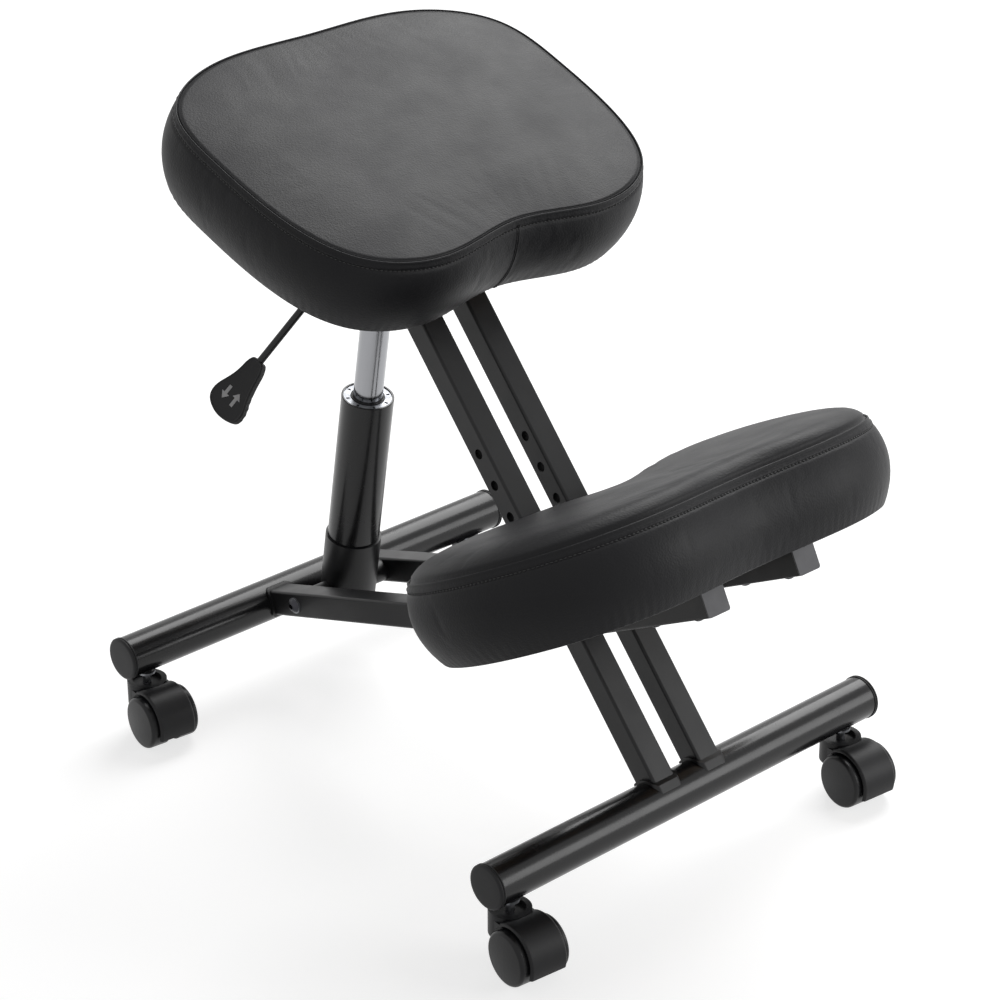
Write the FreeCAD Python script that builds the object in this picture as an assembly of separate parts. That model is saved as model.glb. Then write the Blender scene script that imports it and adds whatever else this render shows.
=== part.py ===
import FreeCAD, Part
import math
import os

# Kneeling chair: two crossed steel links on castors, a sprung seat and a knee pad.
# Millimetres. +X runs along the crossbars towards the sitter's left hand, -Y is the way
# the sitter faces, +Z is up. The floor is Z = 0, and the model is centred over it at the end.

V = FreeCAD.Vector
X_AXIS = V(1, 0, 0)
Y_AXIS = V(0, 1, 0)
Z_AXIS = V(0, 0, 1)

# Clearances
running_fit = 0.05
side_play = 0.3
soft_gap = 0.3
weld_throat = 2.5

# Round crossbars, one at the front and one at the back
crossbar_spread = 516.4
crossbar_height = 85.2
crossbar_length = 468.0
crossbar_od = 40.0
crossbar_wall = 2.0
cap_flange = 5.0
cap_lip = 0.8
cap_plug_depth = 14.0

# Square tube of both links
tube_side = 25.0
tube_wall = 1.5
tube_corner = 2.5

# Front link: two diagonals that rise backwards from the front crossbar to the seat
diagonal_x = 27.8
diagonal_angle = 48.3
diagonal_setback = 6.4
diagonal_length = 560.0
first_spare_hole = 69.5
spare_hole_pitch = 31.2
spare_hole_count = 4
spare_hole_d = 9.5

# Rear link: one kinked rail each side, up from the rear crossbar to the knee pad
rail_angle = 18.8
knee_angle = 28.0
knee_rail_length = 222.0
pivot_washer = 1.2
plug_flange = 1.6
plug_depth = 14.0

# Pivot bolts, the same size at the cross pivot and at the foot of the gas lift
bolt_d = 8.0
bolt_head_d = 14.0
bolt_head_height = 4.4
bolt_hex = 5.0
nut_hex = 13.0
nut_height = 8.0
washer_d = 16.0
washer_t = 1.2
bush_wall = 2.0
spacer_wall = 3.0

# Gas lift, measured along its own axis from its lower pivot
column_pivot_reach = 57.0
sleeve_od = 54.0
sleeve_wall = 2.0
sleeve_below = 22.0
sleeve_above = 60.0
boss_od = 22.0
column_wall = 2.0
column_foot = 17.0
column_mouth = 218.5
cylinder_d = 28.0
cylinder_wall = 1.7
cylinder_length = 237.0
neck_d = 18.0
neck_height = 10.0
piston_rod_d = 10.0
piston_cover = 43.0
piston_height = 12.0
gland_height = 14.0
bush_length = 70.0
bush_recess = 1.0
ring_t = 1.2
ring_slots = 8
head_d = 30.0
head_height = 28.0
trunnion_rise = 18.0
trunnion_d = 10.0
trunnion_thread_d = 8.0
trunnion_head_d = 14.0
trunnion_head_height = 3.0
open_pivot_clearance = 1.5
valve_d = 6.0
valve_rise = 35.0
valve_tower_d = 14.0
valve_proud = 8.0
valve_travel = 4.2

# Seat, tilted forward about X; its frame lies in the seam plane of the top panel. The bracket
# holds the diagonals' ends in front of and below that frame, and the trunnion behind them.
seat_tilt = 19.0
diagonal_end_ahead = 32.13
diagonal_end_drop = 18.145
trunnion_ahead = 10.456
trunnion_drop = 52.359
seat_outline = [(0, -156), (94, -169), (160, -143), (195, -51), (198, 17), (186, 88), (129, 131), (0, 140)]
seat_thickness = 78.4
seat_crown = 8.0
seat_shoulder = 3.0
seat_hem_inset = 5.3
seat_side_bulge = 8.2

# Knee pad: its outline is measured from the front ends of the rails, towards the seat
knee_outline = [(0, -17), (104, -23), (173, 2), (213, 56), (227, 124), (203, 191), (110, 204), (0, 148)]
knee_thickness = 75.0
knee_crown = 15.6
knee_shoulder = 17.0
knee_hem_inset = 7.7
knee_side_bulge = 9.4

# Boards inside both pads and the screws that hold them
board_t = 12.0
board_rim = 4.0
screw_d = 6.0
screw_head_d = 11.6
screw_head_height = 3.4
screw_hex = 4.0
screw_bite = 9.0
tee_flange_d = 18.0
tee_flange_t = 1.4
tee_barrel_d = 8.0
knee_screw_u = (25.0, 81.0)

# Seat bracket: a plate under the board with two cheeks welded to the diagonals
plate_t = 3.0
plate_width = 136.0
plate_front = -92.0
plate_back = 66.0
plate_corner = 12.0
plate_screw_x = 54.0
plate_screw_inset = 16.0
cheek_t = 3.0
cheek_corner = 11.0
cheek_top_front = 62.0
cheek_top_back = 56.0
cheek_back_height = 16.0
cheek_ear = 16.0
cheek_hold = 60.0
cheek_toe_ahead = (14.0, 20.0)
cheek_toe_height = (-10.0, 8.0)

# Release lever: its pin stands under the plate, beside the valve
lever_x = -33.0
lever_u = -16.0
lever_drop = 18.6
lever_angle = 51.7
lever_travel = 7.0
lever_pin_d = 5.0
lever_hub_d = 13.0
lever_ear_t = 2.0
toe_width = 17.0
toe_t = 4.6
toe_gap = 1.9
toe_overhang = 6.0
toe_cover = 1.5
rod_d = 7.0
rod_socket_wall = 2.0
rod_socket_depth = 7.0
rod_length = 163.0
paddle_length = 60.0
paddle_neck = 16.0
paddle_end = 46.0
paddle_skew = 2.0
paddle_t = 8.0
paddle_corner = 3.0
paddle_end_corner = 13.0
paddle_socket = 16.0
cheek_slot_play = 1.0

# Castors; the stem's socket stands just inside the crossbar's cap
socket_gap = 1.0
castor_turn = -5.7
castor_trail = 26.4
wheel_d = 50.0
wheel_face = 26.8
wheel_dome = 1.6
wheel_edge = 3.4
wheel_inner = 6.4
wheel_rim = 3.2
wheel_disc_t = 4.6
hub_d = 14.0
axle_d = 6.0
axle_half = 20.6
hood_d = 60.0
hood_inner_d = 54.6
hood_half_width = 18.8
hood_edge = 2.4
hood_web = 12.0
hood_floor_gap = 16.0
hood_back_y = -9.0
hood_heel = 11.0
hood_heel_corner = 9.0
hood_heel_top = 49.0
cup_d = 38.0
cup_top = 54.2
cup_foot = 30.0
cup_recess_d = 28.0
cup_recess = 4.0
stem_d = 11.0
stem_pin_d = 8.0
stem_collar_d = 17.0
stem_collar_t = 2.0
stem_insert = 30.0
socket_wall = 2.0

# Values worked out from the ones above
crossbar_r = crossbar_od / 2
half_tube = tube_side / 2
front_y = -crossbar_spread / 2
rear_y = crossbar_spread / 2
diagonal_outer_x = diagonal_x + half_tube
diagonal_inner_x = diagonal_x - half_tube
rail_inner_x = diagonal_outer_x + pivot_washer + 2 * running_fit
rail_x = rail_inner_x + half_tube
rail_outer_x = rail_x + half_tube
crossbar_inner_half = crossbar_length / 2 - cap_flange
stem_socket_r = stem_d / 2 + socket_wall
stem_x = crossbar_inner_half - cap_plug_depth - socket_gap - stem_socket_r


def direction(angle):
    """Unit vector in the YZ plane, at the angle in degrees above +Y."""
    return V(0, math.cos(math.radians(angle)), math.sin(math.radians(angle)))


def crossing(point_a, way_a, point_b, way_b):
    """Where two lines in the YZ plane meet."""
    across = V(0, -way_b.z, way_b.y)
    reach = (point_b - point_a).dot(across) / way_a.dot(across)
    return point_a + way_a * reach


diagonal_way = direction(diagonal_angle)
diagonal_foot = V(0, front_y - diagonal_setback, crossbar_height)
rail_way = direction(180 - rail_angle)
rail_foot = V(0, rear_y, crossbar_height)
cross_pivot = crossing(diagonal_foot, diagonal_way, rail_foot, rail_way)
knee_way = direction(180 - knee_angle)
knee_front = cross_pivot + knee_way * knee_rail_length
column_pivot = rail_foot + rail_way * column_pivot_reach


def frame_at(origin, turn):
    """A local frame at a point, turned about X by the angle in degrees."""
    return FreeCAD.Placement(origin, FreeCAD.Rotation(X_AXIS, turn))


plate_top = -seat_thickness
plate_low = plate_top - plate_t
diagonal_end = diagonal_foot + diagonal_way * diagonal_length
end_in_seat = V(0, -diagonal_end_ahead, plate_low - diagonal_end_drop)
seat_origin = diagonal_end - FreeCAD.Rotation(X_AXIS, seat_tilt).multVec(end_in_seat)
seat_frame = frame_at(seat_origin, seat_tilt)
trunnion_point = V(0, -trunnion_ahead, plate_low - trunnion_drop)
column_reach = seat_frame.multVec(trunnion_point) - column_pivot
trunnion_at = column_reach.Length
column_way = column_reach / trunnion_at
column_lean = math.degrees(math.atan2(-column_way.y, column_way.z))
cylinder_top = trunnion_at - trunnion_rise
cylinder_foot = cylinder_top - cylinder_length
piston_at = cylinder_foot + piston_cover
valve_top = trunnion_at + valve_rise
valve_tower_top = valve_top - valve_proud


# Local frames: Z runs along the tube or the lift, or out of the pad's top
diagonal_frame = frame_at(diagonal_foot, diagonal_angle - 90)
rail_frame = frame_at(rail_foot, 90 - rail_angle)
column_frame = frame_at(column_pivot, column_lean)
knee_frame = frame_at(knee_front, -knee_angle)


def put(shape, frame):
    """The shape moved from a local frame into the chair's frame."""
    moved = shape.copy()
    moved.Placement = frame.multiply(moved.Placement)
    return moved


def seat_point(point):
    """A point of the chair's frame given in the seat's frame."""
    return seat_frame.inverse().multVec(point)


def upright(radius, low, high, x=0, y=0):
    return Part.makeCylinder(radius, high - low, V(x, y, low), Z_AXIS)


def crosswise(radius, left, right, y=0, z=0):
    return Part.makeCylinder(radius, right - left, V(left, y, z), X_AXIS)


def sleeve(outer, inner, low, high):
    return upright(outer, low, high).cut(upright(inner, low - 1, high + 1))


def cross_sleeve(outer, inner, left, right, y=0, z=0):
    return crosswise(outer, left, right, y, z).cut(crosswise(inner, left - 1, right + 1, y, z))


def box(x0, x1, y0, y1, z0, z1):
    return Part.makeBox(x1 - x0, y1 - y0, z1 - z0, V(x0, y0, z0))


def edges_along(shape, axis):
    """Straight edges of the shape that run parallel to the axis."""
    found = []
    for edge in shape.Edges:
        start, end = edge.Vertexes[0].Point, edge.Vertexes[-1].Point
        run = end - start
        straight = abs(edge.Length - run.Length) < 1e-6 and run.Length > 1e-6
        if straight and abs(abs(run.dot(axis)) - run.Length) < 1e-6:
            found.append(edge)
    return found


def rounded_bar(x0, x1, y0, y1, z0, z1, corner, axis=Z_AXIS):
    bar = box(x0, x1, y0, y1, z0, z1)
    return bar.makeFillet(corner, edges_along(bar, axis))


def hex_socket(across, depth, top):
    """A hexagonal hole, cut down from the height of its mouth."""
    corners = [V(across / math.sqrt(3), 0, top - depth)]
    for step in range(1, 7):
        corners.append(FreeCAD.Rotation(Z_AXIS, 60 * step).multVec(corners[0]))
    return Part.Face(Part.makePolygon(corners)).extrude(V(0, 0, depth + 1))


def button_head(diameter, height, hex_size):
    """A domed screw head on the plane Z = 0, with its hexagon socket."""
    radius = diameter / 2
    dome_r = (radius ** 2 + height ** 2) / (2 * height)
    dome = Part.makeSphere(dome_r, V(0, 0, height - dome_r))
    head = dome.common(upright(radius, 0, height + 1))
    return head.cut(hex_socket(hex_size, height * 0.6, height))


def hex_nut(across, height, bore):
    nut = hex_socket(across, height - 1, height - 1).common(upright(across * 0.56, -1, height + 1))
    return nut.cut(upright(bore, -1, height + 1))


def turned(shape, axis, angle, centre=V(0, 0, 0)):
    copy = shape.copy()
    copy.rotate(centre, axis, angle)
    return copy


def mirrored(shape):
    return shape.mirror(V(0, 0, 0), X_AXIS)


# Outlines: a closed loop through its points, made of tangent arcs

def whole_loop(half):
    """The right half of an outline and its mirror image, as one closed list of points."""
    right = [V(x, u, 0) for x, u in half]
    left = [V(-p.x, p.y, 0) for p in reversed(right[1:-1])]
    return right + left


def tangents(points):
    """The way along a closed loop at each of its points."""
    count = len(points)
    ways = []
    for i in range(count):
        way = points[(i + 1) % count] - points[i - 1]
        ways.append(way.normalize())
    return ways


def offset_loop(points, amount):
    """The loop moved outwards by the amount at each of its points."""
    moved = []
    for point, way in zip(points, tangents(points)):
        moved.append(point + V(way.y, -way.x, 0) * amount)
    return moved


def shrunk_loop(points, share):
    middle = (min(p.y for p in points) + max(p.y for p in points)) / 2
    centre = V(0, middle, 0)
    return [centre + (p - centre) * share for p in points]


def arc_from(start, way, end):
    """The arc that leaves the start along the given way and passes through the end."""
    chord = end - start
    along = chord.dot(way)
    side = way * (chord.Length ** 2) - chord * along
    if side.Length < 1e-6 * chord.Length ** 2:
        return Part.LineSegment(start, end).toShape()
    half_angle = math.acos(max(-1.0, min(1.0, along / chord.Length))) / 2
    crest = start + chord * 0.5 + side.normalize() * (chord.Length / 2 * math.tan(half_angle))
    return Part.Arc(start, crest, end).toShape()


def loop_wire(points, height):
    """A closed wire at the height: two tangent arcs from each point to the next."""
    ways = tangents(points)
    lift = V(0, 0, height)
    edges = []
    for i, start in enumerate(points):
        end = points[(i + 1) % len(points)]
        way_in = ways[i]
        way_out = ways[(i + 1) % len(points)]
        span = end - start
        bend = 2 * (1 - way_in.dot(way_out))
        lean = span.dot(way_in + way_out)
        reach = span.dot(span) / (2 * lean)
        if bend > 1e-9:
            reach = (math.sqrt(lean ** 2 + bend * span.dot(span)) - lean) / bend
        joint = (start + end + (way_in - way_out) * reach) * 0.5
        edges.append(arc_from(start + lift, way_in, joint + lift))
        edges.append(arc_from(end + lift, way_out * -1, joint + lift))
    return Part.Wire(Part.__sortEdges__(edges))


def slab(points, low, high):
    """A flat plate with the outline of the loop."""
    return Part.Face(loop_wire(points, low)).extrude(V(0, 0, high - low))


def cushion(half, underside, seam, crown, shoulder, inset, bulge):
    """A padded cover: the side is drawn in at the hem and swells, and the top is crowned."""
    outline = whole_loop(half)
    side = []
    for step in range(5):
        share = step / 4
        out = bulge * 4 * share * (1 - share) - inset * (1 - share) ** 2
        side.append(loop_wire(offset_loop(outline, out), underside + (seam - underside) * share))
    top = []
    for rise in (0, 0.3, 0.6, 0.85, 1.0):
        share = (1 - 0.93 * rise) ** (1 / shoulder)
        top.append(loop_wire(shrunk_loop(outline, share), seam + crown * rise))
    body = Part.makeLoft(side, True, False).fuse(Part.makeLoft(top, True, False))
    rim = board_outline(half, inset)
    pocket = slab(offset_loop(rim, soft_gap), underside - 1, underside + board_t + 2 * soft_gap)
    return body.cut(pocket)


def board_outline(half, inset):
    return offset_loop(whole_loop(half), -inset - board_rim)


def board_with_nuts(half, inset, underside, spots):
    """The board of a pad, drilled for its tee nuts, and those nuts."""
    board = slab(board_outline(half, inset), underside, underside + board_t)
    top = underside + board_t
    nuts = []
    for x, u in spots:
        nut = upright(tee_flange_d / 2, top - tee_flange_t, top, x, u)
        nut = nut.fuse(upright(tee_barrel_d / 2, top - screw_bite, top, x, u))
        board = board.cut(nut)
        board = board.cut(upright(screw_d / 2 + side_play, underside - 1, top, x, u))
        nuts.append(nut.cut(upright(screw_d / 2, underside - 1, top + 1, x, u)))
    return board, nuts


def pad_screw(head_plane, tip, x, u):
    """A screw driven upwards: its head hangs below the head plane."""
    head = turned(button_head(screw_head_d, screw_head_height, screw_hex), X_AXIS, 180)
    head.translate(V(x, u, head_plane))
    return head.fuse(upright(screw_d / 2, head_plane, tip, x, u))


# Crossbars, their caps and the sockets for the castor stems

def crossbar(y):
    """A round tube along X, with a steel socket welded in over each castor stem."""
    tube = cross_sleeve(crossbar_r, crossbar_r - crossbar_wall, -crossbar_inner_half,
                        crossbar_inner_half, y, crossbar_height)
    low = crossbar_height - crossbar_r - stem_collar_t
    high = low + stem_insert + stem_collar_t
    for x in (-stem_x, stem_x):
        place = V(x, y, 0)
        socket = upright(stem_socket_r, low, high)
        socket = socket.translated(place)
        bore = upright(stem_d / 2, low - 1, high - socket_wall).translated(place)
        tube = tube.fuse(socket).cut(bore)
    return tube


def crossbar_caps(y):
    """Moulded end plugs with a flange a little wider than the tube."""
    caps = []
    for side in (-1, 1):
        face = side * crossbar_length / 2
        seat = side * crossbar_inner_half
        inner = seat - side * cap_plug_depth
        flange = crosswise(crossbar_r + cap_lip, min(face, seat), max(face, seat), y, crossbar_height)
        rim = [e for e in flange.Edges if abs(e.CenterOfMass.x - face) < 1e-6]
        flange = flange.makeFillet(cap_lip, rim)
        plug_r = crossbar_r - crossbar_wall
        plug = cross_sleeve(plug_r, plug_r - crossbar_wall, min(seat, inner), max(seat, inner),
                            y, crossbar_height)
        caps.append(flange.fuse(plug))
    return caps


def solid_crossbar(y, grow=0):
    half = crossbar_length / 2
    return crosswise(crossbar_r + grow, -half, half, y, crossbar_height)


# Square tubes of the two links

def square_tube(length, x, corner=tube_corner):
    outer = rounded_bar(x - half_tube, x + half_tube, -half_tube, half_tube, 0, length, corner)
    bore = half_tube - tube_wall
    inner = rounded_bar(x - bore, x + bore, -bore, bore, -1, length + 1, corner - tube_wall)
    return outer.cut(inner)


def pivot_hole(radius, centre):
    return crosswise(radius, -rail_outer_x - 1, rail_outer_x + 1, centre.y, centre.z)


def diagonal(x):
    """A diagonal: coped on the front crossbar, with the pivot hole and the spare holes."""
    tube = put(square_tube(diagonal_length, x), diagonal_frame)
    tube = tube.cut(solid_crossbar(front_y))
    tube = tube.cut(pivot_hole(bolt_d / 2 + running_fit + bush_wall, cross_pivot))
    for step in range(spare_hole_count):
        reach = first_spare_hole + step * spare_hole_pitch
        spot = cross_pivot + diagonal_way * reach
        tube = tube.cut(pivot_hole(spare_hole_d / 2, spot))
    return tube


def kinked_bar(half, x, start, end, corner):
    """A bar along the rail and on along the knee rail, mitred at the cross pivot."""
    rail_up = V(0, rail_way.z, -rail_way.y)
    knee_up = V(0, knee_way.z, -knee_way.y)
    mitre = (rail_up + knee_up).normalize()
    mitre = mitre * (1 / mitre.dot(rail_up))
    corners = [start + rail_up * half, cross_pivot + mitre * half, end + knee_up * half,
               end - knee_up * half, cross_pivot - mitre * half, start - rail_up * half]
    shift = V(x - half, 0, 0)
    corners = [c + shift for c in corners]
    bar = Part.Face(Part.makePolygon(corners + [corners[0]])).extrude(V(2 * half, 0, 0))
    ways = (rail_way, knee_way)
    long_edges = [e for way in ways for e in edges_along(bar, way)]
    return bar.makeFillet(corner, long_edges)


def rail(x):
    """A rail: coped on the rear crossbar, kinked at the pivot, open at its front end."""
    outer = kinked_bar(half_tube, x, rail_foot, knee_front, tube_corner)
    inner = kinked_bar(half_tube - tube_wall, x, rail_foot - rail_way, knee_front + knee_way,
                       tube_corner - tube_wall)
    tube = outer.cut(inner).cut(solid_crossbar(rear_y))
    tube = tube.cut(pivot_hole(bolt_d / 2, cross_pivot)).cut(pivot_hole(bolt_d / 2, column_pivot))
    for u in knee_screw_u:
        hole = upright(screw_d / 2 + side_play, -half_tube - 1, half_tube + 1, x, u)
        tube = tube.cut(put(hole, knee_frame))
    return tube


def rail_plug(x):
    """The moulded plug in the front end of a rail: a flat face and a hollow square shank."""
    bore = half_tube - tube_wall
    face = rounded_bar(x - half_tube, x + half_tube, -plug_flange, 0, -half_tube, half_tube,
                       tube_corner, Y_AXIS)
    shank = rounded_bar(x - bore, x + bore, 0, plug_depth, -bore, bore, tube_corner - tube_wall, Y_AXIS)
    hollow = bore - tube_wall
    shank = shank.cut(box(x - hollow, x + hollow, 1, plug_depth + 1, -hollow, hollow))
    return put(face.fuse(shank), knee_frame)


def weld_bead(x, y, frame, length):
    """A low bead that runs round the foot of a tube, on the crossbar."""
    reach = half_tube + weld_throat
    collar = put(rounded_bar(x - reach, x + reach, -reach, reach, 0, length, tube_corner + weld_throat), frame)
    foot = put(rounded_bar(x - half_tube, x + half_tube, -half_tube, half_tube, -1, length + 1,
                           tube_corner), frame)
    band = solid_crossbar(y, weld_throat).cut(solid_crossbar(y))
    return max(band.common(collar).cut(foot).Solids, key=lambda solid: solid.Volume)


# Bolts, nuts, washers and bushes

def cross_bolt(centre):
    """A bolt across both rails, with its domed head on the right-hand rail."""
    head = turned(button_head(bolt_head_d, bolt_head_height, bolt_hex), Y_AXIS, -90)
    head.translate(V(-rail_outer_x - washer_t, centre.y, centre.z))
    tip = rail_outer_x + washer_t + nut_height + 1
    return head.fuse(crosswise(bolt_d / 2, -rail_outer_x - washer_t, tip, centre.y, centre.z))


def cross_nut(centre):
    nut = turned(hex_nut(nut_hex, nut_height, bolt_d / 2), Y_AXIS, 90)
    nut.translate(V(rail_outer_x + washer_t, centre.y, centre.z))
    return nut


def cross_washer(inner_face, thickness, centre):
    return cross_sleeve(washer_d / 2, bolt_d / 2, inner_face, inner_face + thickness, centre.y, centre.z)


def frame_washers():
    washers = []
    for centre in (cross_pivot, column_pivot):
        washers.append(cross_washer(rail_outer_x, washer_t, centre))
        washers.append(cross_washer(-rail_outer_x - washer_t, washer_t, centre))
    low = rail_inner_x - pivot_washer
    washers.append(cross_washer(low, pivot_washer, cross_pivot))
    washers.append(cross_washer(-rail_inner_x, pivot_washer, cross_pivot))
    return washers


def pivot_bushes():
    bore = bolt_d / 2 + running_fit
    bushes = []
    for x in (-diagonal_x, diagonal_x):
        bushes.append(cross_sleeve(bore + bush_wall, bore, x - half_tube, x + half_tube,
                                   cross_pivot.y, cross_pivot.z))
    return bushes


def pivot_spacer():
    bore = bolt_d / 2 + running_fit
    return cross_sleeve(bore + spacer_wall, bore, -diagonal_inner_x, diagonal_inner_x,
                        cross_pivot.y, cross_pivot.z)


# Gas lift, in the column's frame

def column_sleeve():
    """The clamp at the foot: a short tube with a cross boss for the lower pivot bolt."""
    outer = sleeve_od / 2
    inner = outer - sleeve_wall
    boss_half = rail_inner_x - side_play
    tube = sleeve(outer, inner, -sleeve_below, sleeve_above)
    boss = crosswise(boss_od / 2, -boss_half, boss_half)
    bore = crosswise(bolt_d / 2 + running_fit, -boss_half - 1, boss_half + 1)
    return put(tube.fuse(boss).cut(bore), column_frame)


column_r = sleeve_od / 2 - sleeve_wall
column_bore = column_r - column_wall
cylinder_r = cylinder_d / 2
cylinder_bore = cylinder_r - cylinder_wall
rod_r = piston_rod_d / 2


def column_tube():
    """The outer tube, with a floor that holds the piston rod and a rounded mouth."""
    tube = upright(column_r, column_foot, column_mouth)
    rim = [e for e in tube.Edges if abs(e.CenterOfMass.z - column_mouth) < 1e-6]
    tube = tube.makeFillet(column_wall * 0.4, rim)
    tube = tube.cut(upright(column_bore, column_foot + column_wall, column_mouth + 1))
    tube = tube.cut(upright(rod_r, column_foot - 1, column_foot + column_wall + 1))
    return put(tube, column_frame)


bush_top = column_mouth - bush_recess - ring_t


def guide_bush():
    """The moulded guide for the cylinder; its collar stands up inside the spring ring."""
    bore = cylinder_r + running_fit
    body = sleeve(column_bore, bore, bush_top - bush_length, bush_top)
    collar = sleeve(bore + 2.2, bore, bush_top - 1, column_mouth - bush_recess / 2)
    return put(body.fuse(collar), column_frame)


def retaining_ring():
    """The slotted spring ring that holds the bush down in the column's mouth."""
    inner = cylinder_r + running_fit + 2.4
    ring = sleeve(column_bore, inner, bush_top, bush_top + ring_t)
    for step in range(ring_slots):
        slot = box(inner + 1.6, column_bore - 1.6, -1.1, 1.1, bush_top - 1, bush_top + ring_t + 1)
        ring = ring.cut(turned(slot, Z_AXIS, 360 / ring_slots * (step + 0.5)))
    return put(ring, column_frame)


def piston_rod():
    """The fixed rod: it stands on the column's floor and ends in the piston."""
    rod = upright(rod_r, column_foot, piston_at)
    flange = upright(rod_r + 3, column_foot + column_wall, column_foot + column_wall + 3)
    piston = upright(cylinder_bore - running_fit, piston_at - piston_height, piston_at)
    return put(rod.fuse(flange).fuse(piston), column_frame)


def pressure_cylinder():
    """The bright tube: open below for its gland, closed above, with a neck for the head."""
    tube = upright(cylinder_r, cylinder_foot, cylinder_top)
    top_edge = [e for e in tube.Edges if abs(e.CenterOfMass.z - cylinder_top) < 1e-6]
    tube = tube.makeChamfer(cylinder_wall, top_edge)
    tube = tube.fuse(upright(neck_d / 2, cylinder_top - 1, cylinder_top + neck_height))
    tube = tube.cut(upright(cylinder_bore, cylinder_foot - 1, cylinder_top - 3))
    tube = tube.cut(upright(valve_d / 2 + running_fit, cylinder_top - 4, cylinder_top + neck_height + 1))
    return put(tube, column_frame)


def cylinder_gland():
    gland = sleeve(cylinder_bore, rod_r + running_fit, cylinder_foot + 1, cylinder_foot + 1 + gland_height)
    return put(gland, column_frame)


def gas_head():
    """The steel head on the neck: a tapped hole each side and the valve's tower on top."""
    low = cylinder_top
    high = low + head_height
    head = upright(head_d / 2, low, high)
    head = head.makeChamfer(1.0, [e for e in head.Edges if e.Curve.TypeId == "Part::GeomCircle"])
    head = head.fuse(upright(valve_tower_d / 2, high - 1, valve_tower_top))
    head = head.cut(upright(neck_d / 2, low - 1, low + neck_height))
    head = head.cut(upright(valve_d / 2 + running_fit, low, valve_tower_top + 1))
    for side in (-1, 1):
        thread = crosswise(trunnion_thread_d / 2, neck_d / 2, head_d, 0, trunnion_at)
        head = head.cut(turned(thread, Z_AXIS, 90 - 90 * side))
    return put(head, column_frame)


cheek_in = diagonal_outer_x
cheek_out = diagonal_outer_x + cheek_t


def trunnion_bolts():
    """Shoulder bolts screwed into the head from each side, through the bracket's cheeks."""
    bolts = []
    shoulder = cheek_out + side_play
    for side in (-1, 1):
        thread = crosswise(trunnion_thread_d / 2, neck_d / 2 + 1, head_d / 2, 0, trunnion_at)
        shank = crosswise(trunnion_d / 2, head_d / 2, shoulder, 0, trunnion_at)
        head = crosswise(trunnion_head_d / 2, shoulder, shoulder + trunnion_head_height, 0, trunnion_at)
        bolt = turned(thread.fuse(shank).fuse(head), Z_AXIS, 90 - 90 * side)
        bolts.append(put(bolt, column_frame))
    return bolts


def valve_button():
    """The pin that opens the valve; the lever's toe presses on its domed top."""
    pin = upright(valve_d / 2, cylinder_top + 1, valve_top)
    tip = [e for e in pin.Edges if abs(e.CenterOfMass.z - valve_top) < 1e-6]
    return put(pin.makeFillet(1.0, tip), column_frame)


# Seat bracket and release lever, in the seat's frame: x, u to the back, w out of the top

valve_point = seat_point(column_pivot + column_way * valve_top)
lever_w = plate_low - lever_drop
rod_socket_r = rod_d / 2 + rod_socket_wall


def seat_screw_spots():
    rows = (plate_front + plate_screw_inset, plate_back - plate_screw_inset)
    return [(x, u) for x in (-plate_screw_x, plate_screw_x) for u in rows]


def seat_bracket_plate():
    half = plate_width / 2
    plate = rounded_bar(-half, half, plate_front, plate_back, plate_low, plate_top, plate_corner)
    for x, u in seat_screw_spots():
        plate = plate.cut(upright(screw_d / 2 + side_play, plate_low - 1, plate_top + 1, x, u))
    return put(plate, seat_frame)


def cheek_outline():
    """The side view of a cheek: from the plate down over the diagonal and the trunnion."""
    ear = trunnion_point
    front, back = ear.y - cheek_top_front, ear.y + cheek_top_back
    hold = seat_point(diagonal_end - diagonal_way * cheek_hold)
    toe = [(hold.y - ahead, hold.z + rise) for ahead, rise in zip(cheek_toe_ahead, cheek_toe_height)]
    return [(front, plate_low), (back, plate_low), (back, plate_low - cheek_back_height),
            (ear.y + cheek_ear, ear.z - cheek_ear), (ear.y - cheek_ear, ear.z - cheek_ear)] + toe


def bracket_cheek(side):
    """One cheek: welded to the plate and to the side of a diagonal's upper end."""
    corners = [V(cheek_in, u, w) for u, w in cheek_outline()]
    plate = Part.Face(Part.makePolygon(corners + [corners[0]])).extrude(V(cheek_t, 0, 0))
    low_edges = [e for e in edges_along(plate, X_AXIS) if e.CenterOfMass.z < plate_low - 1]
    plate = plate.makeFillet(cheek_corner, low_edges)
    hole_r = trunnion_d / 2 + open_pivot_clearance
    hole = crosswise(hole_r, cheek_in - 1, cheek_out + 1, trunnion_point.y, trunnion_point.z)
    plate = plate.cut(hole)
    if side > 0:
        return put(plate, seat_frame)
    plate = mirrored(plate)
    lifted = math.radians(lever_angle - lever_travel)
    rest = math.radians(lever_angle)
    high = lever_w - (lever_x + cheek_in) * math.tan(lifted) + rod_socket_r / math.cos(lifted)
    low = lever_w - (lever_x + cheek_out) * math.tan(rest) - rod_socket_r / math.cos(rest)
    half = rod_socket_r + cheek_slot_play
    slot = rounded_bar(-cheek_out - 1, -cheek_in + 1, lever_u - half, lever_u + half,
                       low - cheek_slot_play, high + cheek_slot_play, half * 0.9, X_AXIS)
    return put(plate.cut(slot), seat_frame)


def lever_bracket():
    """A small clip under the plate: two ears hold the lever's pin."""
    half = toe_width / 2 + side_play
    foot = lever_w - lever_hub_d / 2
    left = lever_x - lever_hub_d / 2
    right = lever_x + lever_hub_d / 2
    clip = box(left, right, lever_u - half - lever_ear_t, lever_u + half + lever_ear_t,
               plate_low - lever_ear_t, plate_low)
    for inner in (-half - lever_ear_t, half):
        ear = box(left, right, lever_u + inner, lever_u + inner + lever_ear_t, foot, plate_low)
        clip = clip.fuse(ear)
    pin = Part.makeCylinder(lever_pin_d / 2, 4 * toe_width, V(lever_x, lever_u - 2 * toe_width, lever_w), Y_AXIS)
    return put(clip.cut(pin), seat_frame)


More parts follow.
